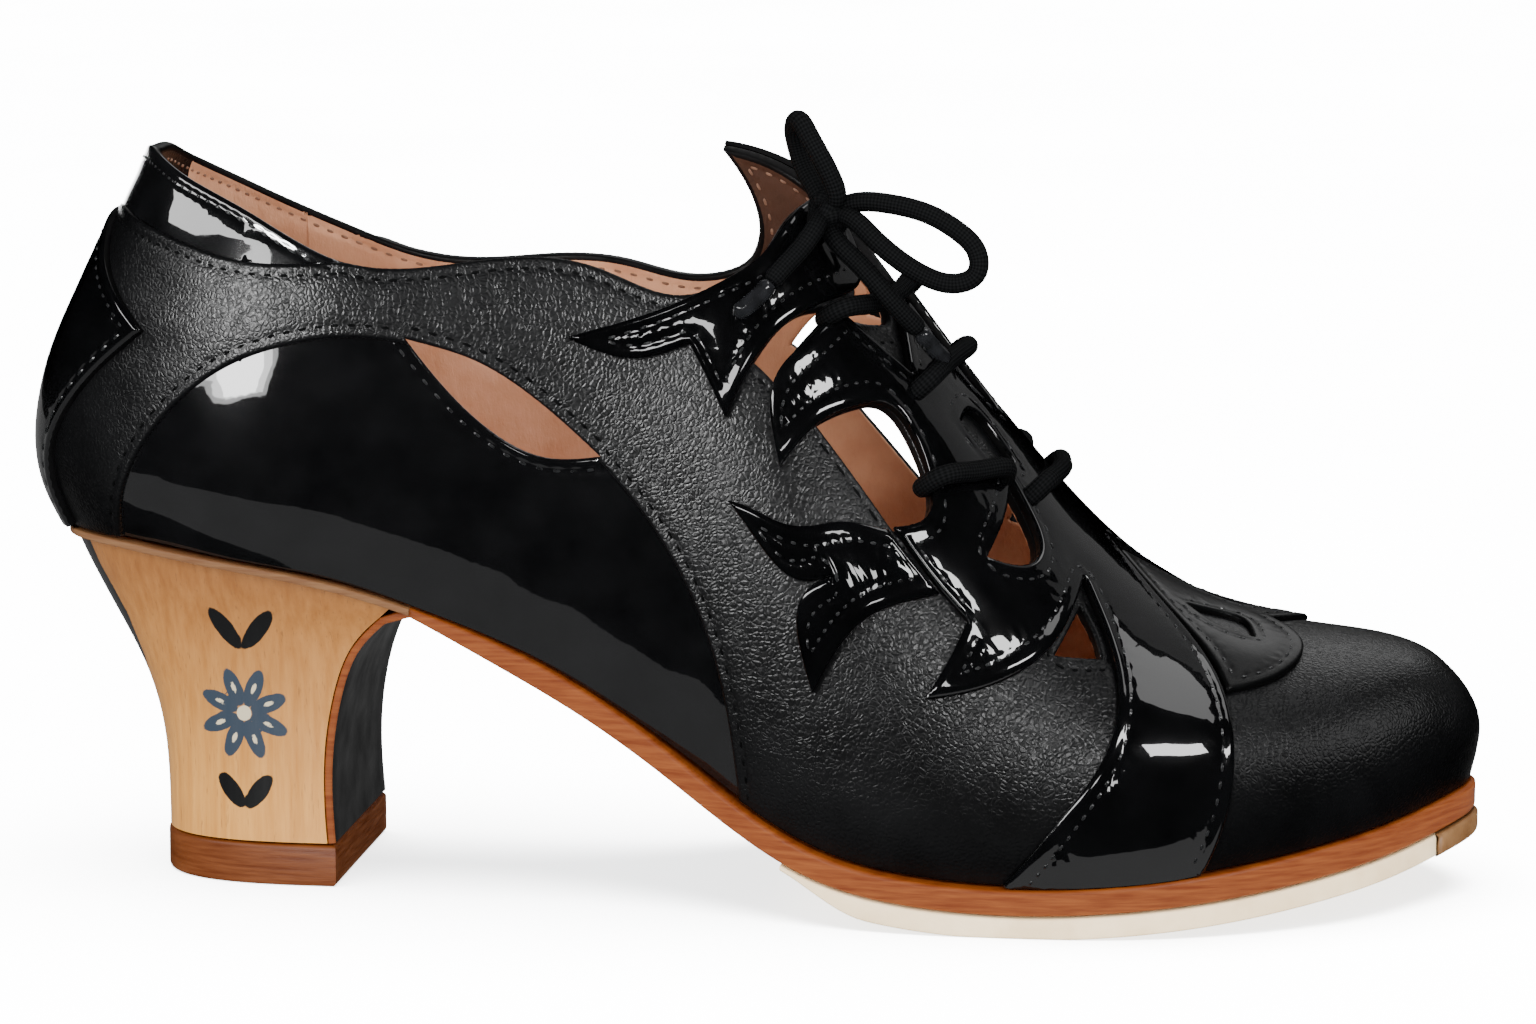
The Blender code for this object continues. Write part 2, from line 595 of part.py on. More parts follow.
def distance_to_line(points, line):
    """Distance of chart points from a polyline."""
    start = line[:-1]
    run = line[1:] - start
    offset = points[:, None, :] - start
    share = np.clip((offset * run).sum(axis=2) / (run * run).sum(axis=1), 0, 1)
    return np.linalg.norm(offset - share[..., None] * run, axis=2).min(axis=1)


def patent_panels():
    """Panels of the upper that lie one step lower: the edge of each, the foot of its step, and its area."""
    panels = []
    outward = np.array([0, UPPER_EDGE])
    for side, collar in ((-1, COLLAR_LATERAL), (1, COLLAR_MEDIAL)):
        edge = smooth_run(chart(QUARTER_LOW, side), UPPER_EDGE)
        foot = nudge(edge, -side * STEP_RUN)
        ends = [edge[0, 0] + STEP_RUN, edge[-1, 0] - STEP_RUN]
        foot[[0, -1]] = chart([(ends[0], 0), (ends[1], 0)], side)
        floor = feather(edge[-1, 0], edge[0, 0], side, UPPER_EDGE) + side * outward
        panels.append((edge, foot, np.concatenate([edge, floor])))
        edge = smooth_run(chart(QUARTER_TOP, side), UPPER_EDGE)
        foot = nudge(edge, side * STEP_RUN)
        foot[0, 0] = 0
        rim = trace(collar[:1], side, UPPER_EDGE)
        rim = rim[rim[:, 0] < QUARTER_TOP[-1][0]][::-1] - side * outward
        rim[-1, 0] = -UPPER_EDGE
        corner = edge[:1] - (UPPER_EDGE, 0)
        panels.append((edge, foot, np.concatenate([corner, edge, rim])))
    return panels


def toe_ribs():
    """Short lines back from the toe seam, so that facets on its two sides stay apart."""
    stations = SIDE_LENGTH - UPPER_EDGE * np.arange(1, TOE_RIB_POINTS + 1)
    return [np.stack([stations, share * GIRTH(stations)], axis=1) for share in TOE_RIB_SHARES]


def upper_outline():
    """The wall's outer edge on the chart: feather edges, toe seam, back seam, collar and throat."""
    halves = []
    for side, collar in ((-1, COLLAR_LATERAL), (1, COLLAR_MEDIAL)):
        floor = feather(0, SIDE_LENGTH, side, UPPER_EDGE)
        toe = seam(SIDE_LENGTH, 0, RIDGE_CLIMB, side, UPPER_EDGE / 2)
        throat = trace(collar, side, UPPER_EDGE)
        back = seam(0, COLLAR_TOP, 0, side, UPPER_EDGE)
        halves.append((np.concatenate([floor[:-1], toe]), np.concatenate([throat[::-1], back[1:-1]])))
    (lateral_floor, lateral_rim), (medial_floor, medial_rim) = halves
    return np.concatenate([lateral_floor, medial_floor[::-1][1:], medial_rim[::-1], lateral_rim[1:]])


def make_upper(finish):
    """The hollow wall on the last. Its patent panels are a step lower than the matte leather."""
    windows = [WINDOW_CRESCENT, WINDOW_ROUND, WINDOW_TEAR, WINDOW_WEDGE, WINDOW_THROAT]
    holes = [closed(runs, side, OVERLAY_EDGE) for runs in windows for side in (-1, 1)]
    holes.append(closed(WINDOW_SLIT, -1, OVERLAY_EDGE))
    panels = patent_panels()
    lines = [line for edge, foot, area in panels for line in (edge, foot)] + toe_ribs()
    flat, faces = triangulate([upper_outline()], holes, lines, UPPER_GRID)
    points = on_last(flat[:, 0], flat[:, 1] / GIRTH(flat[:, 0]), np.full(len(flat), LEATHER_LEVEL - WALL))
    share = np.ones(len(flat))
    for edge, foot, area in panels:
        low = inside(flat, area) & (distance_to_line(flat, edge) > STEP_RUN / 2)
        share[low] = 1 - PATENT_STEP / WALL
    upper = add_mesh("upper", points, faces, finish, share)
    shell = solidify(upper, WALL)
    group = upper.vertex_groups.new(name="wall")
    for i, value in enumerate(upper.data.attributes["share"].data):
        group.add([i], value.value, "REPLACE")
    shell.vertex_group = group.name


def make_overlays(patent):
    """Patent pieces laid over the upper."""
    counters = []
    for side in (-1, 1):
        floor = feather(0, COUNTER_EDGE[0][0][0], side, OVERLAY_EDGE, OVERLAY_FOOT)
        edge = trace(COUNTER_EDGE, side, OVERLAY_EDGE)
        back = seam(0, COUNTER_EDGE[-1][-1][1], OVERLAY_FOOT, side, OVERLAY_EDGE)
        counters.append(np.concatenate([floor[:-1], edge[:-1], back[:-1]]))
    last_patch("counter", counters, [], OVERLAY_LEVEL, OVERLAY, patent("counter"))

    strap_floor = feather(STRAP_FRONT[-1][0], STRAP_REAR[0][0], -1, OVERLAY_EDGE, OVERLAY_FOOT)
    strap = trace([STRAP_FRONT], -1, OVERLAY_EDGE)[:-1]
    flames = trace([STRAP_REAR] + VAMP_FLAMES, -1, OVERLAY_EDGE)
    vamp = both_sides(np.concatenate([strap, strap_floor[:-1], flames]))
    cuts = [closed(runs, side, OVERLAY_EDGE) for runs in (WINDOW_TEAR, LEAF) for side in (-1, 1)]
    belts = [smooth_run(chart(STRAP_BELT, side), OVERLAY_EDGE) for side in (-1, 1)]
    last_patch("vamp_patent", [vamp], cuts, OVERLAY_LEVEL, OVERLAY, patent("vamp_patent"), belts)

    eyes = [closed(ORNAMENT_EYE, side, OVERLAY_EDGE) for side in (-1, 1)]
    ornament = both_sides(trace(ORNAMENT_EDGE, -1, OVERLAY_EDGE))
    last_patch("vamp_ornament", [ornament], eyes, OVERLAY_LEVEL, ORNAMENT, patent("vamp_ornament"))

    for side, name, upper_runs in ((-1, "lateral", FLAME_UPPER_LATERAL), (1, "medial", FLAME_UPPER_MEDIAL)):
        for level, runs in (("upper", upper_runs), ("lower", FLAME_LOWER)):
            flame = f"flame_{level}_{name}"
            last_patch(flame, [closed(runs, side, OVERLAY_EDGE)], [], OVERLAY_LEVEL, OVERLAY, patent(flame))


def loft(name, rings, finish):
    """Closed solid through rings with the same number of points, with flat ends."""
    rings = np.asarray(rings, float)
    count, size = rings.shape[:2]
    faces = [list(range(size)), [(count - 1) * size + k for k in range(size)]]
    for r in range(count - 1):
        for k in range(size):
            after = (k + 1) % size
            faces.append([r * size + k, r * size + after, (r + 1) * size + after, (r + 1) * size + k])
    return add_mesh(name, rings.reshape(-1, 3), faces, finish, closed_body=True)


def feather_plan(along, side, out):
    """x and y of the feather edge, moved outwards in plan."""
    across = np.full(len(along), float(side))
    normal = last_normal(along, across)[:, :2]
    normal /= np.linalg.norm(normal, axis=1, keepdims=True)
    return last_surface(along, across)[:, :2] + np.asarray(out)[:, None] * normal


def sole_rings(along, out, top, bottom):
    """Four-cornered rings across the sole at stations along the feather edge."""
    lateral = feather_plan(along, -1, out)
    medial = feather_plan(along, 1, out)
    corners = [(lateral, top), (medial, top), (medial, bottom), (lateral, bottom)]
    return np.stack([np.column_stack([plan, z]) for plan, z in corners], axis=1)


OUTSOLE = columns(OUTSOLE_COLUMNS, OUTSOLE_ROWS)
HEEL = dict(zip(HEEL_COLUMNS, np.transpose(HEEL_RINGS)))


def feather_z(along):
    """Height of the feather edge."""
    return LAST["feather_z"](along)


def outsole_bottom(along):
    """Height of the outsole's underside."""
    return feather_z(along) - SEAT_GAP - OUTSOLE["thick"](station_x(along))


def make_outsole(finish):
    """Leather sole from the toe to the heel, where it turns down the breast as a thin flap."""
    along = np.linspace(SIDE_LENGTH - TIP_CUT, along_at(OUTSOLE_ROWS[0][0]), OUTSOLE_RINGS)
    out = OUTSOLE["out"](station_x(along))
    rings = list(sole_rings(along, out, feather_z(along) - SEAT_GAP, outsole_bottom(along)))
    end = rings[-1]
    start = [end[0, 0], end[0, 2], abs(end[0, 1] - end[1, 1]) / 2]
    breast = np.column_stack([HEEL["breast_x"], HEEL["breast_z"], HEEL["half_width"]])
    curve = smooth_run([start] + breast.tolist(), FLAP_STEP)
    path = curve[:, :2]
    run = np.gradient(path, axis=0)
    run /= np.linalg.norm(run, axis=1, keepdims=True)
    facing = np.stack([-run[:, 1], run[:, 0]], axis=1)
    for (x, z), (ahead, up), width in list(zip(path, facing, curve[:, 2]))[1:]:
        back = [(x, -width, z), (x, width, z)]
        front = [(x + FLAP * ahead, y, z + FLAP * up) for x, y, z in back[::-1]]
        rings.append(np.array(back + front))
    loft("outsole", rings, finish)


def make_sole_layers():
    """Pale half sole, toe plate, insole and the rand under the heel seat."""
    along = np.linspace(along_at(HALF_SOLE_REAR), along_at(HALF_SOLE_FRONT), HALF_SOLE_RINGS)
    x = station_x(along)
    top = outsole_bottom(along) - SEAT_GAP
    taper = ease((x - HALF_SOLE_REAR) / HALF_SOLE_TAPER)
    share = HALF_SOLE_REAR_SHARE + (1 - HALF_SOLE_REAR_SHARE) * taper
    thick = (HALF_SOLE + HALF_SOLE_FLAT) * share
    bottom = np.maximum(top - thick, 0)
    rings = sole_rings(along, OUTSOLE["out"](x), top, bottom)
    loft("half_sole", rings, material("half_sole", SOLE_CREAM, 0.6))

    along = np.linspace(along_at(TOE_PLATE_REAR), SIDE_LENGTH - TIP_CUT, TOE_PLATE_RINGS)
    top = outsole_bottom(along) - SEAT_GAP
    out = OUTSOLE["out"](station_x(along)) + TOE_PLATE_OUT
    loft("toe_plate", sole_rings(along, out, top, top - TOE_PLATE), material("toe_plate", BRONZE, 0.45))

    along = np.linspace(INSOLE_INSET, SIDE_LENGTH - INSOLE_INSET, INSOLE_RINGS)
    low = feather_z(along) + INSOLE_LIFT
    inset = np.full(len(along), -INSOLE_INSET)
    loft("insole", sole_rings(along, inset, low + INSOLE, low), material("insole", TAN_LINING, 0.7))

    along = np.linspace(TIP_CUT, along_at(SEAT_END), SEAT_RINGS)
    top = feather_z(along) - SEAT_GAP
    rand = sole_rings(along, np.zeros(len(along)), top, top - SEAT_RAND)
    loft("heel_seat", rand, material("heel_seat", SOLE_BROWN, 0.5))


def heel_ring(back_x, breast_x, half_width, square):
    """Plan of the heel: rounded at the back, straight across the breast."""
    turn = np.linspace(-QUARTER_TURN, QUARTER_TURN, HEEL_AROUND)
    y = half_width * np.sign(turn) * np.abs(np.sin(turn))**(2 / square)
    x = breast_x - (breast_x - back_x) * np.abs(np.cos(turn))**(2 / square)
    return x, y


def make_heel():
    """Wooden heel under the seat and its top piece on the floor."""
    rings = []
    for i, (back_x, back_z, breast_x, breast_z, half_width, square) in enumerate(HEEL_RINGS):
        breast_x -= BREAST_GAP
        x, y = heel_ring(back_x, breast_x, half_width, square)
        z = back_z + (breast_z - back_z) * (x - back_x) / (breast_x - back_x)
        if i == 0:
            z = feather_z(along_at(x)) - HEEL_DROP
        rings.append(np.stack([x, y, z], axis=1))
    loft("heel", rings, material("heel", HEEL_WOOD, 0.4))

    back_x, _, breast_x, _, half_width, square = HEEL_RINGS[-1]
    x, y = heel_ring(back_x - HEEL_TIP_OUT, breast_x + FLAP, half_width + HEEL_TIP_OUT / 2, square)
    tip = [np.stack([x, y, 0 * x + z], axis=1) for z in (HEEL_TIP, 0.0)]
    loft("heel_tip", tip, material("heel_tip", TIP_BROWN, 0.45))


def add_tube(name, points):
    """A round lace along millimetre points, evenly stepped on a smooth curve through them."""
    route = smooth_run(points, LACE_POINT_STEP)
    curve = bpy.data.curves.new(name, "CURVE")
    curve.dimensions = "3D"
    curve.bevel_depth = LACE / 2 * MM
    curve.bevel_resolution = LACE_RESOLUTION
    curve.use_fill_caps = True
    line = curve.splines.new("POLY")
    line.points.add(len(route) - 1)
    for point, place in zip(line.points, route):
        point.co = (*(place * MM), 1.0)
    add_object(name, curve, material(name, LACE_BLACK, 0.8))


def lace_points(places, side, level):
    """Points at a level above the last, from (along, climb) places on one side."""
    along, climb = np.array(places, float).T
    return on_last(along, side * (1 - climb), level + 0 * along)


def make_lace():
    """Bars across the throat, the knot, two loops and two ends."""
    for side, name in ((-1, "lateral"), (1, "medial")):
        add_tube(f"lace_bar_low_{name}", lace_points(LACE_BAR_LOW, side, LACE_LEVEL))
    for name, places in LACE_CROSSINGS.items():
        lateral = lace_points(places, -1, LACE_LEVEL)
        medial = lace_points(places[:-1][::-1], 1, LACE_LEVEL)
        add_tube(name, np.concatenate([lateral, medial]))
    for name, route in LACE_ENDS.items():
        places = [(along, climb) for along, climb, level in route]
        levels = np.array([level for along, climb, level in route])
        add_tube(name, lace_points(places, -1, levels))
    for name, route in LACE_LOOPS.items():
        add_tube(name, route)

    knot = bpy.data.meshes.new("lace_knot")
    shape = bmesh.new()
    bmesh.ops.create_uvsphere(shape, u_segments=KNOT_SEGMENTS, v_segments=KNOT_RINGS, radius=MM)
    bmesh.ops.scale(shape, verts=shape.verts, vec=KNOT_HALF)
    shape.to_mesh(knot)
    shape.free()
    knot.shade_smooth()
    piece = add_object("lace_knot", knot, material("lace_knot", LACE_BLACK, 0.8))
    place = np.array([KNOT_PLACE[0]]), np.array([KNOT_PLACE[1] - 1])
    normal = Vector(last_normal(*place)[0])
    piece.location = on_last(*place, np.array([KNOT_LEVEL]))[0] * MM
    piece.rotation_euler = normal.to_track_quat("Z", "Y").to_euler()


def main():
    make_upper(material("upper", MATTE_BLACK, 0.5))
    make_overlays(lambda name: material(name, PATENT_BLACK, 0.12, 1.0))
    make_sole_layers()
    make_outsole(material("outsole", SOLE_BROWN, 0.5))
    make_heel()
    make_lace()


for old in list(bpy.data.objects):
    bpy.data.objects.remove(old, do_unlink=True)
SHOE = bpy.data.collections.new("flamenco_shoe")
bpy.context.scene.collection.children.link(SHOE)
main()
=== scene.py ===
"""Looks of the flamenco shoe: leathers with rounded and stitched edges, lining, sole, wooden heel and lace.

Sizes are in millimetres and become metres where a mesh is made. Lights and camera are placed in metres.
Places on the upper are given by along, the distance along the side from the back seam, and climb, the share
of the way from the feather edge to the ridge.
"""

import math

import bmesh
import bpy
import numpy as np
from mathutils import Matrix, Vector
from mathutils.geometry import delaunay_2d_cdt
from mathutils.kdtree import KDTree


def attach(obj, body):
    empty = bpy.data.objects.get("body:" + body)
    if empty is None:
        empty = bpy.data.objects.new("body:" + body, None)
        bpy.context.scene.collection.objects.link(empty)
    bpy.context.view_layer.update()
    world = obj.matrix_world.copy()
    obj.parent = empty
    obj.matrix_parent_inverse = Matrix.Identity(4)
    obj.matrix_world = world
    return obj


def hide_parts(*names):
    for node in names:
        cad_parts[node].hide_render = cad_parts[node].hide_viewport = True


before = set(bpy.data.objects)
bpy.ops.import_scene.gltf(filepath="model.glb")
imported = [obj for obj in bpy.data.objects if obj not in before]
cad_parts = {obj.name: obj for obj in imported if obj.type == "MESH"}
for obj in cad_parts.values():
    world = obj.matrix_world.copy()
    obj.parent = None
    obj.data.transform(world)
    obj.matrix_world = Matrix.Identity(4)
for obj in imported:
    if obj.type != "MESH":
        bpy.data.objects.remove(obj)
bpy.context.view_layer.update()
MM = 0.001
QUARTER_TURN = math.pi / 2

# The last: length, ends and sections
HEEL_X = -36.4
TOE_X = 204.6
HEEL_ROUND = 27.0
TOE_ROUND = 26.0
SIDE_LENGTH = TOE_X - HEEL_X + (HEEL_ROUND + TOE_ROUND) * (QUARTER_TURN - 1)
LEAN_REACH = 62.0
TOE_LIP = 1.6
TOE_LIP_REACH = 40.0
TOE_LIP_HEIGHT = 20.0
SECTION_COLUMNS = ("x", "feather_z", "lateral", "medial", "swell_lateral", "swell_medial",
                   "wide_z", "ridge_y", "ridge_z", "fullness")
SECTIONS = [
    (HEEL_X, 58.4, 0.0, 0.0, 0.0, 0.0, 13.0, 0.0, 140.0, 2.2),
    (-33.5, 58.4, 11.2, 11.2, 1.2, 1.2, 13.0, 0.0, 140.0, 2.2),
    (-25.0, 58.2, 19.4, 19.4, 2.0, 2.0, 13.0, 0.0, 140.0, 2.2),
    (-5.0, 56.3, 27.5, 27.0, 2.5, 2.5, 13.0, 0.3, 138.0, 2.2),
    (18.0, 52.8, 30.0, 28.0, 2.0, 2.0, 14.0, 0.6, 136.0, 2.2),
    (35.0, 47.4, 28.7, 25.5, 1.5, 2.0, 15.0, 1.0, 134.0, 2.2),
    (56.0, 37.9, 28.0, 22.5, 1.2, 3.0, 16.0, 1.5, 133.0, 2.2),
    (72.0, 28.3, 30.5, 23.5, 1.2, 3.5, 16.0, 2.0, 132.0, 2.1),
    (88.0, 17.9, 35.5, 27.5, 1.5, 3.0, 14.0, 2.6, 127.0, 2.0),
    (100.0, 12.2, 39.3, 32.0, 2.0, 2.5, 12.0, 3.0, 112.0, 1.9),
    (114.0, 9.2, 42.0, 37.0, 2.2, 2.2, 11.0, 3.0, 92.0, 1.85),
    (130.0, 8.1, 43.0, 41.0, 2.2, 2.2, 10.5, 2.6, 71.5, 1.85),
    (146.0, 8.7, 42.6, 42.0, 2.0, 2.0, 10.0, 2.0, 55.0, 1.95),
    (162.0, 10.3, 38.8, 41.0, 1.8, 1.8, 9.5, 2.0, 46.6, 2.1),
    (177.0, 12.6, 31.6, 36.5, 1.6, 1.6, 9.0, 2.4, 43.6, 2.2),
    (190.0, 15.0, 21.5, 29.0, 1.4, 1.4, 8.5, 3.0, 42.0, 2.25),
    (200.0, 17.2, 8.0, 17.0, 1.0, 1.0, 8.0, 3.6, 37.5, 2.2),
    (TOE_X, 18.5, -4.0, 4.0, 0.0, 0.0, 3.0, 4.0, 25.0, 2.1),
]
BACK_LINE = [
    (50.0, 9.0), (58.4, 4.4), (64.0, 1.6), (71.2, 0.0), (80.0, 0.8),
    (92.0, 4.6), (106.0, 11.0), (122.0, 18.3), (140.0, 27.0),
]

# Leather levels above the last and its edges
LEATHER_LEVEL = -0.5
WALL = 2.1
LINING_LEVEL = LEATHER_LEVEL - WALL
EDGE_BLACK = 1.3
PATENT_STEP = 0.8
OVERLAY_TOP = 1.05
ORNAMENT_TOP = 0.6
OVERLAY_FOOT_LEVEL = LEATHER_LEVEL - 0.15
EDGE_ROUND = 0.65
GROOVE_PLACE = 1.95
GROOVE_DEPTH = 0.17
GROOVE_WIDTH = 0.5
PUFF = 0.16
PUFF_REACH = 5.0
RIPPLE = 0.05
RIPPLE_PLACE = 1.3
RIPPLE_WIDTH = 1.1
EDGE_SPACING = 0.75
EDGE_RINGS = (0.08, 0.25, 0.55, 0.95, 1.45, 1.95, 2.45, 3.1)
STEP_RINGS = (0.06,) + EDGE_RINGS[1:]
RING_CLEAR = 0.93
UPPER_GRID = 1.7
OVERLAY_GRID = 1.5
GRID_CLEAR = 0.5
INSIDE_BATCH = 3000
MESH_CLOSE = 1e-5
SEAM_NEAR = 1e-6
WELD = 0.004
DISSOLVE = WELD / 4
SHARP_ANGLE = math.radians(50)
RUN_FINE = 40

# Stitches
STITCH_PITCH = 2.7
STITCH_LENGTH = 2.05
STITCH_RADIUS = 0.3
STITCH_SINK = 0.35
STITCH_LIFT = STITCH_RADIUS - STITCH_SINK
STITCH_DIP = 1.3
STITCH_SIDES = 6
STITCH_SHAPE = ((0.0, 0.02), (0.08, 0.7), (0.3, 1.0), (0.5, 1.05), (0.7, 1.0), (0.92, 0.7), (1.0, 0.02))
LINING_STITCH_INSET = 2.3
ROW_CLEAR = 0.95
ROW_POINTS = 3

# Outlines on the last, as smooth runs of (along, climb) that meet at corners
RIDGE = 1.0
OVERLAY_FOOT = 0.004
COLLAR_TOP = 0.78
COLLAR_STEP_END = 76.0
THROAT_END = (176.5, RIDGE)
THROAT_SIDE = [(148.0, 0.92), (151.0, 0.93), (156.0, 0.94), (162.0, 0.95), (172.0, 0.955), THROAT_END]
COLLAR_LATERAL = [
    [(0.0, COLLAR_TOP), (4.0, 0.777), (23.6, 0.725), (39.0, 0.67), (56.3, 0.61), (71.5, 0.55), (92.6, 0.60),
     (113.9, 0.638), (128.0, 0.635), (138.6, 0.715), (143.6, 0.815), (148.0, 0.92)],
    THROAT_SIDE,
]
HORN_TIP = (129.5, 0.86)
COLLAR_MEDIAL = [
    [(0.0, COLLAR_TOP), (4.0, 0.776), (20.0, 0.71), (42.6, 0.62), (60.2, 0.56), (74.7, 0.532), (86.0, 0.553),
     (99.0, 0.6), (112.0, 0.628), (123.0, 0.634), (131.8, 0.675), (134.9, 0.76), HORN_TIP],
    [HORN_TIP, (138.1, 0.872), (148.0, 0.92)],
    THROAT_SIDE,
]
COLLARS = {-1: COLLAR_LATERAL, 1: COLLAR_MEDIAL}
WINDOW_CRESCENT = [
    [(139.6, 0.588), (142.2, 0.635), (146.7, 0.705), (152.0, 0.77)],
    [(152.0, 0.77), (149.0, 0.705), (144.9, 0.62), (143.6, 0.583)],
    [(143.6, 0.583), (139.6, 0.588)],
]
WINDOW_ROUND = [
    [(150.2, 0.58), (157.1, 0.67), (163.5, 0.71), (168.0, 0.65), (163.0, 0.525)],
    [(163.0, 0.525), (155.7, 0.562), (150.2, 0.58)],
]
WINDOW_TEAR = [
    [(179.8, 0.81), (179.8, 0.725), (177.5, 0.59)],
    [(177.5, 0.59), (184.3, 0.645), (185.2, 0.715), (179.8, 0.81)],
]
WINDOW_WEDGE = [
    [(192.9, 0.635), (191.4, 0.56), (189.3, 0.48)],
    [(189.3, 0.48), (196.5, 0.52)],
    [(196.5, 0.52), (195.2, 0.58), (192.9, 0.635)],
]
WINDOW_THROAT = [
    [(152.6, 0.893), (156.0, 0.905), (159.0, 0.9), (160.0, 0.855)],
    [(160.0, 0.855), (157.0, 0.81), (153.5, 0.775)],
    [(153.5, 0.775), (154.9, 0.85), (152.6, 0.893)],
]
WINDOW_SLIT = [
    [(82.6, 0.447), (93.0, 0.444), (104.0, 0.41), (114.4, 0.362)],
    [(114.4, 0.362), (104.8, 0.325), (96.0, 0.34), (82.6, 0.447)],
]
QUARTER_LOW = [
    (29.5, 0.0), (37.2, 0.18), (48.6, 0.315), (64.0, 0.395), (84.9, 0.44), (108.0, 0.385),
    (123.9, 0.29), (134.8, 0.135), (137.5, 0.0),
]
QUARTER_TOP = [
    (0.0, 0.665), (10.0, 0.648), (24.5, 0.60), (41.8, 0.55), (58.0, 0.525), (COLLAR_STEP_END, 0.56),
]
COUNTER_WING = (36.3, 0.39)
COUNTER_EDGE = [
    [(14.0, OVERLAY_FOOT), (15.9, 0.155), (22.5, 0.26), COUNTER_WING],
    [COUNTER_WING, (28.1, 0.455), (19.0, 0.54), (8.0, 0.64), (0.0, 0.66)],
]
STRAP_FRONT = [(195.5, RIDGE), (206.5, 0.77), (213.7, 0.575), (217.8, 0.345), (216.5, 0.125),
               (213.3, OVERLAY_FOOT)]
STRAP_REAR = [(181.6, OVERLAY_FOOT), (193.4, 0.19), (199.3, 0.37), (199.0, 0.47), (192.5, 0.71)]
FLAME_TIP_LOW = (168.9, 0.295)
FLAME_TIP_REAR = (144.5, 0.48)
NOTCH = (163.5, 0.80)
VAMP_FLAMES = [
    [(192.5, 0.71), (189.7, 0.525), (182.9, 0.4), FLAME_TIP_LOW],
    [FLAME_TIP_LOW, (172.5, 0.375), (175.2, 0.455)],
    [(175.2, 0.455), (168.0, 0.495), (163.0, 0.528)],
    [(163.0, 0.528), (168.0, 0.65), (163.5, 0.71), (157.1, 0.67), (150.2, 0.58), FLAME_TIP_REAR],
    [FLAME_TIP_REAR, (142.6, 0.54), (147.2, 0.665), (152.2, 0.768)],
    [(152.2, 0.768), NOTCH],
    [NOTCH, (161.2, 0.89), (159.5, 0.945)],
    [(159.5, 0.945), (165.0, 0.952), (172.0, 0.957), THROAT_END],
]
LEAF = [
    [(171.6, 0.81), (174.3, 0.885), (179.8, 0.865)],
    [(179.8, 0.865), (176.0, 0.8), (171.6, 0.81)],
]
FLAME_SPIKE = (135.4, 0.495)
FISHTAIL = (108.7, 0.52)
FLAME_NOTCH = (129.1, 0.57)
FLAME_UPPER_END = [
    [(148.0, 0.92), (151.0, 0.925), (154.4, 0.897)],
    [(154.4, 0.897), (154.9, 0.86), (152.2, 0.79)],
    [(152.2, 0.79), (146.7, 0.705), (142.2, 0.635), FLAME_SPIKE],
    [FLAME_SPIKE, FLAME_NOTCH],
    [FLAME_NOTCH, (119.0, 0.52), FISHTAIL],
]
FLAME_UPPER = {
    -1: [[FISHTAIL, (120.9, 0.585), (131.0, 0.646), (138.6, 0.713), (143.6, 0.813), (148.0, 0.92)]]
        + FLAME_UPPER_END,
    1: [[FISHTAIL, (120.9, 0.575), (129.0, 0.632), (134.7, 0.755), HORN_TIP],
        [HORN_TIP, (138.1, 0.872), (148.0, 0.92)]] + FLAME_UPPER_END,
}
FLAME_LOWER = [
    [(136.2, 0.39), (143.0, 0.405), (154.3, 0.475), (162.0, 0.517)],
    [(162.0, 0.517), (170.5, 0.472)],
    [(170.5, 0.472), (159.3, 0.37), (150.7, 0.22)],
    [(150.7, 0.22), (148.2, 0.28), (153.4, 0.395)],
    [(153.4, 0.395), (144.0, 0.352), (136.2, 0.39)],
]
ORNAMENT_EDGE = [
    [(197.0, RIDGE), (207.4, 0.77), (214.6, 0.575), (216.4, 0.49)],
    [(216.4, 0.49), (224.2, 0.56), (228.2, 0.765), (222.5, RIDGE)],
]
ORNAMENT_EYE = [
    [(209.0, 0.875), (213.7, 0.805), (220.1, 0.765)],
    [(220.1, 0.765), (217.0, 0.91), (209.0, 0.875)],
]
SIDES = ((-1, "lateral"), (1, "medial"))


def spline(xs, ys):
    """Natural cubic through the points, as a function."""
    xs = np.asarray(xs, float)
    ys = np.asarray(ys, float)
    count = len(xs)
    step = np.diff(xs)
    matrix = np.eye(count)
    right = np.zeros(count)
    for i in range(1, count - 1):
        matrix[i, i - 1:i + 2] = step[i - 1], 2 * (step[i - 1] + step[i]), step[i]
        right[i] = 6 * ((ys[i + 1] - ys[i]) / step[i] - (ys[i] - ys[i - 1]) / step[i - 1])
    bend = np.linalg.solve(matrix, right)

    def value(x):
        x = np.asarray(x, float)
        i = np.clip(np.searchsorted(xs, x) - 1, 0, count - 2)
        t = x - xs[i]
        slope = (ys[i + 1] - ys[i]) / step[i] - step[i] * (2 * bend[i] + bend[i + 1]) / 6
        return ys[i] + t * (slope + t * (bend[i] / 2 + t * (bend[i + 1] - bend[i]) / (6 * step[i])))

    return value


def columns(names, rows, against=None):
    """Each column of a table as a curve over its first column, or over that column's places."""
    places = [row[0] for row in rows] if against is None else against
    return {name: spline(places, [row[i] for row in rows]) for i, name in enumerate(names) if i}


def unit(vectors):
    """The same directions with a length of one."""
    return vectors / np.linalg.norm(vectors, axis=-1, keepdims=True)


def ease(share):
    """Smooth step from 0 to 1."""
    share = np.clip(share, 0, 1)
    return share * share * (3 - 2 * share)


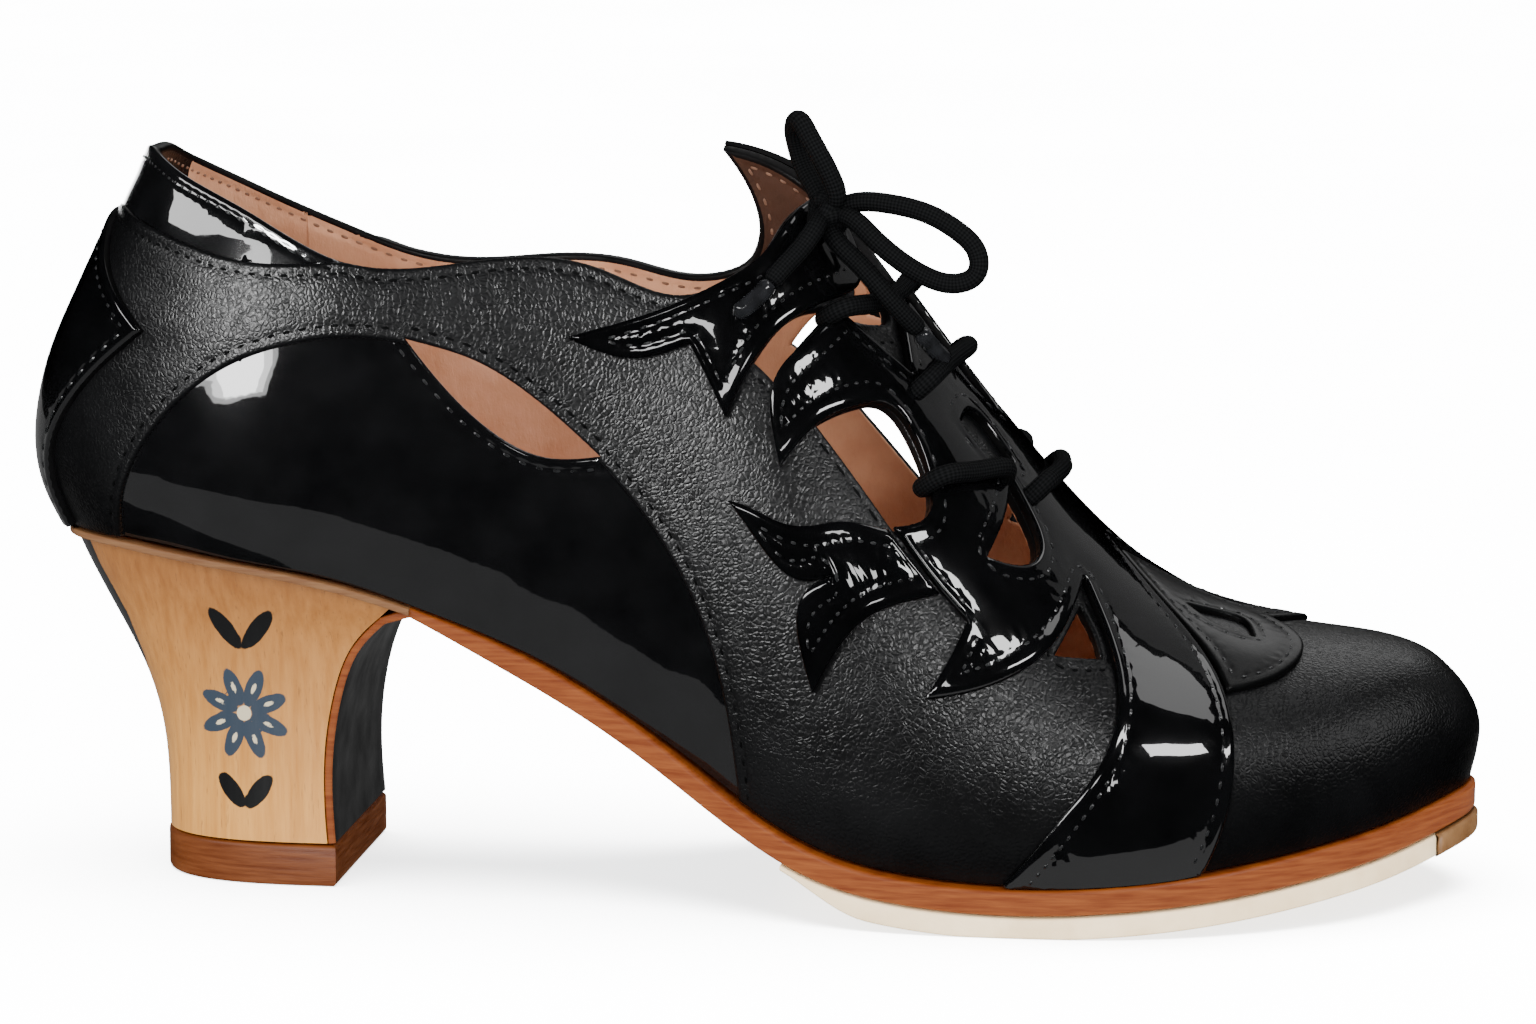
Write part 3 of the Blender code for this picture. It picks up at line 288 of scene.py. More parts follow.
def station_x(along):
    """x of a section, from its distance along the side."""
    along = np.asarray(along, float)
    heel_turn = np.clip(along / HEEL_ROUND, 0, QUARTER_TURN)
    toe_turn = np.clip((SIDE_LENGTH - along) / TOE_ROUND, 0, QUARTER_TURN)
    start = HEEL_ROUND * QUARTER_TURN
    straight = np.clip(along, start, SIDE_LENGTH - TOE_ROUND * QUARTER_TURN) - start
    return HEEL_X + HEEL_ROUND * (1 - np.cos(heel_turn)) + straight + TOE_ROUND * np.cos(toe_turn)


ALONG_SAMPLES = 2001
ALONG_GRID = np.linspace(0, SIDE_LENGTH, ALONG_SAMPLES)


def along_at(x):
    """Distance along the side of the section at x."""
    return np.interp(x, station_x(ALONG_GRID), ALONG_GRID)


LAST = columns(SECTION_COLUMNS, SECTIONS, [along_at(row[0]) for row in SECTIONS])
BACK = spline(*np.transpose(BACK_LINE))
BACK_RANGE = (BACK_LINE[0][0], BACK_LINE[-1][0])
LOW_SAMPLES = np.linspace(1, 0, 60)
HIGH_SAMPLES = np.linspace(0, QUARTER_TURN, 700)
STATIONS = 1300
CLIMBS = 600


def half_section(along, side):
    """Sampled half sections at many stations: distance up the section, y and z."""
    at = {name: curve(along)[:, None] for name, curve in LAST.items()}
    width, swell = ("lateral", "swell_lateral") if side < 0 else ("medial", "swell_medial")
    wide_z = at["feather_z"] + at["wide_z"]
    widest = at[width] + at[swell]
    ridge_y = side * at["ridge_y"]
    power = 2 / at["fullness"]
    low_y = at[width] + at[swell] * (1 - LOW_SAMPLES**2)
    low_z = wide_z - at["wide_z"] * LOW_SAMPLES
    high_y = ridge_y + (widest - ridge_y) * np.cos(HIGH_SAMPLES)**power
    high_z = wide_z + (at["ridge_z"] - wide_z) * np.sin(HIGH_SAMPLES)**power
    y = np.concatenate([low_y[:, :-1], high_y], axis=1)
    z = np.concatenate([low_z[:, :-1], high_z], axis=1)
    run = np.hypot(np.diff(y, axis=1), np.diff(z, axis=1)).cumsum(axis=1)
    run = np.concatenate([np.zeros((len(run), 1)), run], axis=1)
    return run, side * y, z


def last_grids():
    """Fine grids of points and outward normals of the last, for its lateral and medial sides."""
    along = np.linspace(0, SIDE_LENGTH, STATIONS)
    climb = np.linspace(0, 1, CLIMBS)
    feather = LAST["feather_z"](along)[:, None]
    points = []
    normals = []
    for side in (-1, 1):
        run, y, z = half_section(along, side)
        y = np.array([np.interp(climb * r[-1], r, v) for r, v in zip(run, y)])
        z = np.array([np.interp(climb * r[-1], r, v) for r, v in zip(run, z)])
        lean = ease(1 - along / LEAN_REACH)[:, None] * BACK(np.clip(z, *BACK_RANGE))
        bulge = np.sin(math.pi * np.clip((z - feather) / TOE_LIP_HEIGHT, 0, 1))
        lip = ease(1 - (SIDE_LENGTH - along) / TOE_LIP_REACH)[:, None] * TOE_LIP * bulge
        grid = np.stack([station_x(along)[:, None] + lean + lip, y, z], axis=2)
        normal = np.cross(np.gradient(grid, axis=0), np.gradient(grid, axis=1)) * -side
        points.append(grid)
        normals.append(unit(normal))
    for end, beside in ((0, 1), (-1, -2)):
        both = (normals[0][beside] + normals[1][beside]) * (1, 0, 1)
        normals[0][end] = normals[1][end] = unit(both)
    normals[0][:, -1] = normals[1][:, -1] = unit(normals[0][:, -1] + normals[1][:, -1])
    return np.array(points), np.array(normals)


LAST_POINTS, LAST_NORMALS = last_grids()


def grid_value(grids, along, across):
    """Values between a fine grid's points. across is -1 at the lateral edge, 0 at the ridge, 1 medial."""
    row = np.clip(along, 0, SIDE_LENGTH) / SIDE_LENGTH * (STATIONS - 1)
    column = (1 - np.clip(np.abs(across), 0, 1)) * (CLIMBS - 1)
    side = (np.asarray(across) > 0).astype(int)
    i = np.clip(row.astype(int), 0, STATIONS - 2)
    j = np.clip(column.astype(int), 0, CLIMBS - 2)
    s = (row - i)[:, None]
    t = (column - j)[:, None]
    low = (1 - s) * grids[side, i, j] + s * grids[side, i + 1, j]
    high = (1 - s) * grids[side, i, j + 1] + s * grids[side, i + 1, j + 1]
    return (1 - t) * low + t * high


def on_last(along, across, level):
    """Points at a height above the last."""
    along = np.asarray(along, float)
    normal = unit(grid_value(LAST_NORMALS, along, across))
    return grid_value(LAST_POINTS, along, across) + np.asarray(level)[..., None] * normal


GIRTH_STATIONS = np.linspace(0, SIDE_LENGTH, 60)
GIRTH = spline(GIRTH_STATIONS, sum(half_section(GIRTH_STATIONS, side)[0][:, -1] for side in (-1, 1)) / 2)


def chart(points, side):
    """Flat chart of (along, climb) points: x is along, y is the distance from the ridge, lateral negative."""
    points = np.asarray(points, float)
    return np.stack([points[:, 0], side * (1 - points[:, 1]) * GIRTH(points[:, 0])], axis=1)


def on_upper(flat, level):
    """Points at a height above the last, from chart points."""
    return on_last(flat[:, 0], flat[:, 1] / GIRTH(flat[:, 0]), level)


def chords(points):
    """Distance along a polyline at each of its points."""
    return np.concatenate([[0], np.linalg.norm(np.diff(points, axis=0), axis=1).cumsum()])


def resample(points, count):
    """A polyline with its points evenly spread."""
    chord = chords(points)
    goal = np.linspace(0, chord[-1], count + 1)
    return np.stack([np.interp(goal, chord, points[:, k]) for k in range(points.shape[1])], axis=1)


def smooth_run(points, spacing):
    """Evenly spaced points on a smooth curve through the given points, both ends kept."""
    points = np.asarray(points, float)
    if len(points) > 2:
        chord = chords(points)
        fine = np.linspace(0, chord[-1], RUN_FINE * len(points))
        points = np.stack([spline(chord, points[:, k])(fine) for k in range(points.shape[1])], axis=1)
    return resample(points, max(1, round(chords(points)[-1] / spacing)))


def trace(runs, side, spacing=EDGE_SPACING):
    """Open outline on the chart: the runs one after another, without the last point of each but the last."""
    parts = [smooth_run(chart(run, side), spacing) for run in runs]
    return np.concatenate([part[:-1] for part in parts] + [parts[-1][-1:]])


def closed(runs, side):
    """Closed outline on the chart."""
    return trace(runs, side)[:-1]


def feather(start, end, side, climb=0.0):
    """Chart points along the feather edge, or a little above it."""
    stations = np.linspace(start, end, max(1, round(abs(end - start) / EDGE_SPACING)) + 1)
    return chart(np.stack([stations, 0 * stations + climb], axis=1), side)


def seam(along, low, high, side):
    """Chart points up a section, from one climb to another."""
    climbs = np.linspace(low, high, max(1, round(abs(high - low) * float(GIRTH(along)) / EDGE_SPACING)) + 1)
    return chart(np.stack([0 * climbs + along, climbs], axis=1), side)


def both_sides(lateral):
    """Closed outline of a piece that crosses the ridge: its lateral half and that half's mirror image."""
    return np.concatenate([lateral[:-1], (lateral * (1, -1))[::-1][:-1]])


def inside(points, polygon):
    """Which chart points lie inside a polygon."""
    low = polygon.min(axis=0)
    high = polygon.max(axis=0)
    near = np.nonzero(((points >= low) & (points <= high)).all(axis=1))[0]
    found = np.zeros(len(points), bool)
    x0, y0 = polygon.T
    x1, y1 = np.roll(x0, -1), np.roll(y0, -1)
    for part in np.array_split(near, len(near) // INSIDE_BATCH + 1):
        x, y = points[part][:, :1], points[part][:, 1:]
        crosses = (y0 > y) != (y1 > y)
        with np.errstate(divide="ignore", invalid="ignore"):
            at = x0 + (y - y0) * (x1 - x0) / (y1 - y0)
        found[part] = (crosses & (x < at)).sum(axis=1) % 2 == 1
    return found


def on_piece(points, outlines, holes=()):
    """Which chart points lie in an outline and in none of the holes."""
    keep = np.any([inside(points, outline) for outline in outlines], axis=0)
    for hole in holes:
        keep &= ~inside(points, hole)
    return keep


def search_tree(points):
    """Tree of chart points, to search for the nearest one."""
    tree = KDTree(len(points))
    for i, (x, y) in enumerate(points):
        tree.insert((x, y, 0), i)
    tree.balance()
    return tree


def nearest(tree, points):
    """Which point of a tree is nearest to each chart point, and how far it is."""
    index, distance = np.array([tree.find((x, y, 0))[1:] for x, y in points]).T
    return index.astype(int), distance


class Edges:
    """Polylines on a chart, searched for the nearest place: its distance and its run along the line."""

    FINE = 0.1

    def __init__(self, lines):
        fine = [resample(line, max(1, round(chords(line)[-1] / self.FINE))) for line in lines]
        self.run = np.concatenate([chords(line) for line in fine])
        self.tree = search_tree(np.concatenate(fine))

    def near(self, points):
        index, distance = nearest(self.tree, points)
        return distance, self.run[index]


def loop_line(loop):
    """A closed outline as a polyline that ends where it starts."""
    return np.concatenate([loop, loop[:1]])


def shifted(line, distance):
    """A polyline moved to its left."""
    direction = unit(np.gradient(line, axis=0))
    return line + distance * np.stack([-direction[:, 1], direction[:, 0]], axis=1)


def ring_points(lines, edges, distances):
    """Points beside lines, on both sides, that lie no nearer to any other line."""
    found = []
    for distance in distances:
        for line in lines:
            for way in (-1, 1):
                ring = shifted(line, way * distance)
                found.append(ring[edges.near(ring)[0] > RING_CLEAR * distance])
    return found


def chart_mesh(outlines, holes, edge_lines, grid, steps=()):
    """Chart points and triangles of the outlines less the holes, finest beside the edges and step lines."""
    loops = outlines + holes
    boundary = Edges([loop_line(loop) for loop in loops] + list(steps))
    beside = ring_points(edge_lines, boundary, EDGE_RINGS) + ring_points(steps, boundary, STEP_RINGS)
    low = np.min([loop.min(axis=0) for loop in outlines], axis=0)
    high = np.max([loop.max(axis=0) for loop in outlines], axis=0)
    fill = []
    for i, y in enumerate(np.arange(low[1], high[1], grid * math.sqrt(3) / 2)):
        xs = np.arange(low[0] + (i % 2) * grid / 2, high[0], grid)
        fill.append(np.stack([xs, 0 * xs + y], axis=1))
    fill = np.concatenate(fill)
    beside = np.concatenate(beside)
    beside = beside[on_piece(beside, outlines, holes)]
    fill = fill[on_piece(fill, outlines, holes)]
    fill = fill[boundary.near(fill)[0] > GRID_CLEAR * grid]
    fill = fill[nearest(search_tree(beside), fill)[1] > GRID_CLEAR * grid]
    points = []
    links = []
    for loop in loops:
        first = len(points)
        points += list(loop)
        links += [(first + i, first + (i + 1) % len(loop)) for i in range(len(loop))]
    points = np.concatenate([np.array(points), beside, fill])
    found = delaunay_2d_cdt([Vector(point) for point in points], links, [], 0, MESH_CLOSE, False)
    flat = np.array([tuple(v) for v in found[0]])
    faces = np.array([tuple(f) for f in found[2]])
    faces = faces[on_piece(flat[faces].mean(axis=1), outlines, holes)]
    a, b, c = (flat[faces[:, k]] for k in range(3))
    turn = (b - a)[:, 0] * (c - a)[:, 1] - (b - a)[:, 1] * (c - a)[:, 0]
    faces[turn < 0] = faces[turn < 0][:, ::-1]
    return flat, faces


def rounding(distance, radius):
    """How far a surface has rolled off at a distance from its edge, as a share of the radius."""
    inward = 1 - np.clip(distance / radius, 0, 1)
    return 1 - np.sqrt(1 - inward**2)


def hump(distance, width):
    """Soft bump of height one."""
    return np.exp(-(distance / width)**2)


# Pieces of leather on the last
CREASES = [
    ([(24.0, 0.40), (33.0, 0.36), (45.0, 0.385)], 0.18, 2.2),
    ([(28.0, 0.50), (41.0, 0.455), (57.0, 0.45)], 0.15, 2.6),
    ([(60.0, 0.50), (66.0, 0.45), (76.0, 0.43)], 0.15, 2.0),
    ([(100.0, 0.50), (108.0, 0.465), (121.0, 0.43)], 0.2, 2.4),
    ([(110.0, 0.44), (119.0, 0.40), (131.0, 0.335)], 0.2, 2.2),
    ([(127.0, 0.46), (134.0, 0.35), (139.0, 0.22)], 0.18, 2.6),
]
LINING_CREASES = [
    ([(18.0, 0.55), (34.0, 0.50), (52.0, 0.47)], 0.5, 3.0),
    ([(66.0, 0.45), (86.0, 0.42), (104.0, 0.45)], 0.5, 3.2),
    ([(112.0, 0.50), (120.0, 0.42), (126.0, 0.33)], 0.5, 2.8),
    ([(124.0, 0.72), (129.0, 0.66), (131.0, 0.58)], 0.45, 1.8),
]
CREASE_MEDIAL_SHIFT = 6.0
CREASE_REACH = 4
CREASE_STEP = 1.0
CREASE_RIDGE = (0.45, 1.9)
STEP_ROUND = 0.7
INNER_ROUND = 0.5
PATENT_ROUND = 0.55
GROOVE_BEAT = 0.3
FOOT_RISE = 0.3
PATENT_WAVE = 0.16
PATENT_WAVE_RUN = 31.0
BACK_FLUSH = 20.0


def crease_depth(flat, creases):
    """Depth of the soft troughs at chart points, with the ridges they push up beside them."""
    depth = np.zeros(len(flat))
    rise, beside = CREASE_RIDGE
    for run, deep, width in creases:
        for side in (-1, 1):
            moved = [(along + (CREASE_MEDIAL_SHIFT if side > 0 else 0), climb) for along, climb in run]
            line = smooth_run(chart(moved, side), CREASE_STEP)
            low = line.min(axis=0) - CREASE_REACH * width
            high = line.max(axis=0) + CREASE_REACH * width
            near = ((flat > low) & (flat < high)).all(axis=1)
            if near.any():
                distance, place = Edges([line]).near(flat[near])
                fade = np.sin(math.pi * np.clip(place / chords(line)[-1], 0, 1))
                trough = hump(distance, width) - rise * hump(distance - beside * width, width)
                depth[near] += deep * fade * trough
    return depth


def parts_by(marks, row):
    """A row of points parted where its marks change: the mark and the points of each part."""
    breaks = np.nonzero(np.diff(marks))[0] + 1
    return [(bool(marks[part[0]]), row[part]) for part in np.split(np.arange(len(row)), breaks)]


class Patch:
    """A piece of leather between two levels on the last, with rounded, stitched edges."""

    def __init__(self, outlines, holes, rims, grid, steps=()):
        self.outlines = outlines
        self.holes = holes
        self.rims = rims
        self.edges = Edges(rims)
        self.flat, self.faces = chart_mesh(outlines, holes, rims, grid, list(steps))

    def rows(self, lines, inset):
        """Lines beside the given ones, at an inset, where they lie on the piece and clear of other edges."""
        found = []
        for line in lines:
            for way in (-1, 1):
                row = shifted(line, way * inset)
                clear = self.edges.near(row)[0] > ROW_CLEAR * inset
                good = on_piece(row, self.outlines, self.holes) & clear
                found += [part for kept, part in parts_by(good, row) if kept and len(part) > ROW_POINTS]
        return found

    def build(self, name, top, low, paint):
        """Closed mesh. top and low give levels at chart points; paint gives each face group its finish."""
        flat, faces = self.flat, self.faces
        count = len(flat)
        upper_level = top(flat)
        lower_level = low(flat)
        seen = {(a, b) for face in faces.tolist() for a, b in zip(face, face[1:] + face[:1])}
        rim = [(a, b) for a, b in seen if (b, a) not in seen and not (self.on_seam(a) and self.on_seam(b))]
        middle = {}
        for a, b in sorted(rim):
            for i in (a, b):
                middle.setdefault(i, 2 * count + len(middle))
        rim_index = np.array(list(middle))
        mid_level = np.maximum(upper_level - EDGE_BLACK, lower_level + FOOT_RISE)[rim_index]
        points = np.concatenate([on_upper(flat, upper_level), on_upper(flat, lower_level),
                                 on_upper(flat[rim_index], mid_level)])
        quads = [(b, a, middle[a], middle[b]) for a, b in sorted(rim)]
        low_quads = [(middle[b], middle[a], a + count, b + count) for a, b in sorted(rim)]
        groups = [("outer", faces.tolist()), ("wall", quads), ("foot", low_quads),
                  ("inner", (faces[:, ::-1] + count).tolist())]
        all_faces = []
        slots = []
        finishes = []
        for group, members in groups:
            chosen = paint(group, np.array([np.mean(flat[[i % count for i in f if i < 2 * count]], axis=0)
                                            for f in members]))
            for member, finish in zip(members, chosen):
                if finish not in finishes:
                    finishes.append(finish)
                all_faces.append(member)
                slots.append(finishes.index(finish))
        return add_mesh(name, points, all_faces, finishes, slots)

    def on_seam(self, i):
        along = self.flat[i, 0]
        return along < SEAM_NEAR or along > SIDE_LENGTH - SEAM_NEAR


def add_mesh(name, points, faces, finishes, slots=None, uv=None, values=None):
    """A mesh object from millimetre points, welded and shaded smooth."""
    mesh = bpy.data.meshes.new(name)
    mesh.from_pydata((np.asarray(points) * MM).tolist(), [], [[int(i) for i in face] for face in faces])
    for finish in finishes:
        mesh.materials.append(finish)
    if slots is not None:
        mesh.polygons.foreach_set("material_index", slots)
    for key, value in (values or {}).items():
        mesh.attributes.new(key, "FLOAT", "POINT").data.foreach_set("value", np.asarray(value, float))
    if uv is not None:
        corner = np.zeros(len(mesh.loops), int)
        mesh.loops.foreach_get("vertex_index", corner)
        layer = mesh.uv_layers.new(name="run")
        layer.data.foreach_set("uv", np.asarray(uv, float)[corner].ravel())
    shape = bmesh.new()
    shape.from_mesh(mesh)
    bmesh.ops.remove_doubles(shape, verts=shape.verts, dist=WELD * MM)
    bmesh.ops.dissolve_degenerate(shape, edges=shape.edges, dist=DISSOLVE * MM)
    bmesh.ops.delete(shape, geom=[v for v in shape.verts if not v.link_faces], context="VERTS")
    shape.to_mesh(mesh)
    shape.free()
    mesh.shade_smooth()
    mesh.set_sharp_from_angle(angle=SHARP_ANGLE)
    made = bpy.data.objects.new(name, mesh)
    bpy.context.scene.collection.objects.link(made)
    return made


def place(piece, slot, *nodes):
    """Fixes a piece to the shoe, in the place of the solids that it shows; slot is not used."""
    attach(piece, "root")
    if nodes:
        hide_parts(*nodes)


# Finishes
CLOUD_RANGE = (0.3, 0.7)
GLOSS_SPREAD = 0.08
BLACKS = ((0.0012, 0.0012, 0.0013), (0.0025, 0.0025, 0.0027))


class Finish:
    """A material and a short way to add nodes to it."""

    def __init__(self, name, **constants):
        self.material = bpy.data.materials.new(name)
        self.material.use_nodes = True
        self.tree = self.material.node_tree
        self.shader = self.tree.nodes["Principled BSDF"]
        for key, value in constants.items():
            self.shader.inputs[key.replace("_", " ").title().replace("Ior", "IOR")].default_value = value

    def add(self, kind, inputs=(), **settings):
        node = self.tree.nodes.new("ShaderNode" + kind)
        for key, value in settings.items():
            setattr(node, key, value)
        for key, value in dict(inputs).items():
            if isinstance(value, bpy.types.NodeSocket):
                self.tree.links.new(value, node.inputs[key])
            else:
                node.inputs[key].default_value = value
        return node

    def places(self, stretch=(1, 1, 1)):
        """Coordinates on the shoe, in millimetres, divided by a stretch."""
        source = self.add("TexCoord").outputs["Object"]
        scale = tuple(1 / MM / s for s in stretch)
        return self.add("Mapping", {"Vector": source, "Scale": scale}).outputs[0]

    def noise(self, vector, size, detail=3.0, rough=0.55):
        inputs = {"Vector": vector, "Scale": 1 / size, "Detail": detail, "Roughness": rough}
        return self.add("TexNoise", inputs).outputs[0]

    def spread(self, value, low, high, start=0.0, end=1.0):
        """A value carried from one range to another."""
        inputs = {"Value": value, "From Min": low, "From Max": high, "To Min": start, "To Max": end}
        return self.add("MapRange", inputs).outputs[0]

    def cloud_spread(self, cloud, start=0.0, end=1.0):
        """The usual range of a noise carried to another range."""
        return self.spread(cloud, *CLOUD_RANGE, start, end)

    def combine(self, kind, *values):
        return self.add("Math", dict(enumerate(values)), operation=kind).outputs[0]

    def blend(self, share, a, b):
        """Colour between two others."""
        def colour(value):
            return value if isinstance(value, bpy.types.NodeSocket) else (*value, 1.0)

        node = self.add("Mix", data_type="RGBA")
        for socket, value in ((node.inputs["Factor"], share), (node.inputs[6], colour(a)),
                              (node.inputs[7], colour(b))):
            if isinstance(value, bpy.types.NodeSocket):
                self.tree.links.new(value, socket)
            else:
                socket.default_value = value
        return node.outputs[2]

    def tone(self, cloud, dark, light):
        """Clouded colour between a dark and a light one."""
        return self.blend(self.cloud_spread(cloud), dark, light)

    def bump(self, height, depth, strength=1.0, below=None):
        inputs = {"Height": height, "Distance": depth * MM, "Strength": strength}
        if below is not None:
            inputs["Normal"] = below
        return self.add("Bump", inputs).outputs[0]

    def set(self, **sockets):
        for key, value in sockets.items():
            self.tree.links.new(value, self.shader.inputs[key.replace("_", " ").title()])
        return self.material


def mottled(name, dark, light, size, grain, depth, roughness, spread=GLOSS_SPREAD, **constants):
    """A finish with clouded colour, clouded gloss and a fine grain."""
    finish = Finish(name, **constants)
    places = finish.places()
    cloud = finish.noise(places, size)
    rough = finish.cloud_spread(cloud, roughness - spread, roughness + spread)
    normal = finish.bump(finish.noise(places, grain), depth)
    return finish.set(base_color=finish.tone(cloud, dark, light), roughness=rough, normal=normal)


PEBBLE_SIZE = 0.82
PEBBLE_EDGE = 0.28
PEBBLE_WARP = 1.6
WARP_SIZE = 3.0


def matte_leather():
    """Black calf with a fine pebbled grain."""
    finish = Finish("matte_leather", specular_ior_level=0.3)
    places = finish.places()
    warp = finish.add("TexNoise", {"Vector": places, "Scale": 1 / WARP_SIZE, "Detail": 2.0}).outputs[1]
    bent = finish.add("VectorMath", {0: warp, 1: (PEBBLE_WARP,) * 3}, operation="MULTIPLY").outputs[0]
    bent = finish.add("VectorMath", {0: places, 1: bent}, operation="ADD").outputs[0]
    inputs = {"Vector": bent, "Scale": 1 / PEBBLE_SIZE}
    cells = finish.add("TexVoronoi", inputs, feature="DISTANCE_TO_EDGE").outputs[0]
    cloud = finish.noise(places, size=14.0)
    pebble = finish.bump(finish.spread(cells, 0.0, PEBBLE_EDGE), depth=0.042)
    fine = finish.bump(finish.noise(bent, size=1.1), depth=0.03, below=pebble)
    return finish.set(base_color=finish.tone(cloud, *BLACKS), normal=fine,
                      roughness=finish.cloud_spread(cloud, 0.29, 0.35))


def patent_leather(name, sway, crinkle):
    """Black lacquered leather, faintly uneven."""
    finish = Finish(name, coat_weight=1.0, coat_roughness=0.03, coat_ior=1.8, specular_ior_level=0.05)
    places = finish.places()
    slow = finish.bump(finish.noise(places, size=17.0, detail=1.0), sway)
    normal = finish.bump(finish.noise(places, size=4.0, detail=2.0), crinkle, below=slow)
    cloud = finish.noise(places, size=9.0)
    return finish.set(base_color=finish.tone(cloud, *BLACKS), normal=normal, coat_normal=normal,
                      roughness=finish.cloud_spread(cloud, 0.16, 0.24))


def lining_leather(name, dark, light):
    """Soft tan lining with fine wrinkles."""
    finish = Finish(name, specular_ior_level=0.3)
    places = finish.places()
    cloud = finish.noise(places, size=11.0, detail=4.0)
    flat = finish.places(stretch=(1.0, 1.0, 2.6))
    wrinkles = finish.bump(finish.noise(flat, size=2.6, detail=4.0, rough=0.6), depth=0.35)
    fine = finish.bump(finish.noise(places, size=0.5), depth=0.05, below=wrinkles)
    return finish.set(base_color=finish.tone(cloud, dark, light), normal=fine,
                      roughness=finish.cloud_spread(cloud, 0.55, 0.7))


def layered_leather(name, dark, light, roughness):
    """Cut leather with streaks along the edge."""
    finish = Finish(name, specular_ior_level=0.4)
    streaks = finish.noise(finish.places(stretch=(9.0, 9.0, 0.6)), size=1.0, detail=4.0, rough=0.6)
    rough = finish.cloud_spread(streaks, roughness - GLOSS_SPREAD, roughness + GLOSS_SPREAD)
    return finish.set(base_color=finish.tone(streaks, dark, light), roughness=rough,
                      normal=finish.bump(streaks, depth=0.06))


# Heights over which the wood is painted darker towards the top as shade under the seat; each tone pair runs
# from the foot up.
WOOD_SHADE_RANGE = (14.0, 52.0)
WOOD_DARK = ((0.38, 0.15, 0.02), (0.17, 0.057, 0.009))
WOOD_LIGHT = ((0.5, 0.22, 0.034), (0.235, 0.085, 0.013))
FLECK_COLOUR = (0.12, 0.042, 0.008)
FLECK_SPREAD = (0.62, 0.75, 0.0, 0.55)
PAINTS = {"slate": (0.018, 0.028, 0.042), "cream": (0.42, 0.35, 0.23), "dark": (0.0012, 0.0012, 0.0015)}
PAINT_WEAR = 0.06
PAINT_EDGE = 0.05


def heel_wood():
    """Pale maple with short flecks, painted darker towards the top as shade under the seat; the painted areas
    come from the heel's own fields.
    """
    finish = Finish("heel_wood", coat_weight=0.35, coat_roughness=0.18)
    grain = finish.noise(finish.places(stretch=(1.4, 1.4, 16.0)), size=1.0, detail=4.0, rough=0.6)
    flecks = finish.noise(finish.places(stretch=(0.5, 0.5, 5.0)), size=0.8, detail=2.0)
    # Painted shade: the colour darkens with height towards the seat.
    height = finish.spread(finish.add("SeparateXYZ", {0: finish.places()}).outputs[2], *WOOD_SHADE_RANGE)
    dark = finish.blend(height, *WOOD_DARK)
    light = finish.blend(height, *WOOD_LIGHT)
    wood = finish.tone(grain, dark, light)
    wood = finish.blend(finish.spread(flecks, *FLECK_SPREAD), wood, FLECK_COLOUR)
    for field, colour in PAINTS.items():
        value = finish.add("Attribute", attribute_name=field).outputs["Fac"]
        wear = finish.noise(finish.places(), size=1.6, detail=4.0)
        edge = finish.combine("ADD", value, finish.cloud_spread(wear, -PAINT_WEAR, PAINT_WEAR))
        wood = finish.blend(finish.spread(edge, -PAINT_EDGE, PAINT_EDGE), wood, colour)
    return finish.set(base_color=wood, roughness=finish.cloud_spread(grain, 0.3, 0.42),
                      normal=finish.bump(grain, depth=0.05))


BRAID_PITCH = 1.15
BRAID_STRANDS = 9
BRAID_FUZZ = 0.4


def braided(name, dark, light):
    """Round braided lace: slanted strands both ways along the run, coloured darker in the gaps as painted
    shade and lighter on the crowns as painted highlight.
    """
    finish = Finish(name, specular_ior_level=0.06)
    parts = finish.add("SeparateXYZ", {0: finish.add("UVMap", uv_map="run").outputs[0]})
    run = finish.combine("MULTIPLY", parts.outputs[0], 2 * math.pi / BRAID_PITCH)
    turn = finish.combine("MULTIPLY", parts.outputs[1], 2 * math.pi * BRAID_STRANDS)
    slants = [finish.combine("SINE", finish.combine(way, run, turn)) for way in ("ADD", "SUBTRACT")]
    braid_relief_and_shade = finish.spread(finish.combine("MULTIPLY", *slants), -1.0, 1.0)
    fuzz = finish.noise(finish.places(), size=0.25)
    height = finish.combine("ADD", braid_relief_and_shade, finish.combine("MULTIPLY", fuzz, BRAID_FUZZ))
    # The braid relief also sets the colour: painted shade in the gaps between strands, painted highlight on
    # their crowns.
    return finish.set(base_color=finish.blend(braid_relief_and_shade, dark, light), normal=finish.bump(height, depth=0.16),
                      roughness=finish.cloud_spread(fuzz, 0.55, 0.75))


MATTE = matte_leather()
PATENT = patent_leather("patent_leather", sway=0.22, crinkle=0.012)
FLAME_PATENT = patent_leather("flame_patent", sway=0.1, crinkle=0.015)
ORNAMENT_LEATHER = mottled("ornament_leather", (0.0012, 0.0012, 0.0012), (0.0025, 0.0025, 0.0025), size=6.0,
                           grain=0.8, depth=0.03, roughness=0.42, spread=0.05, coat_weight=0.25,
                           coat_roughness=0.25, coat_ior=1.35, specular_ior_level=0.15)
LINING = lining_leather("lining_leather", (0.40, 0.17, 0.085), (0.54, 0.27, 0.15))
# Lining painted lighter, as painted light on its lower inside seen through the side slit.
LINING_PAINTED_LIT = lining_leather("lining_painted_lit", (0.62, 0.31, 0.17), (0.80, 0.46, 0.29))
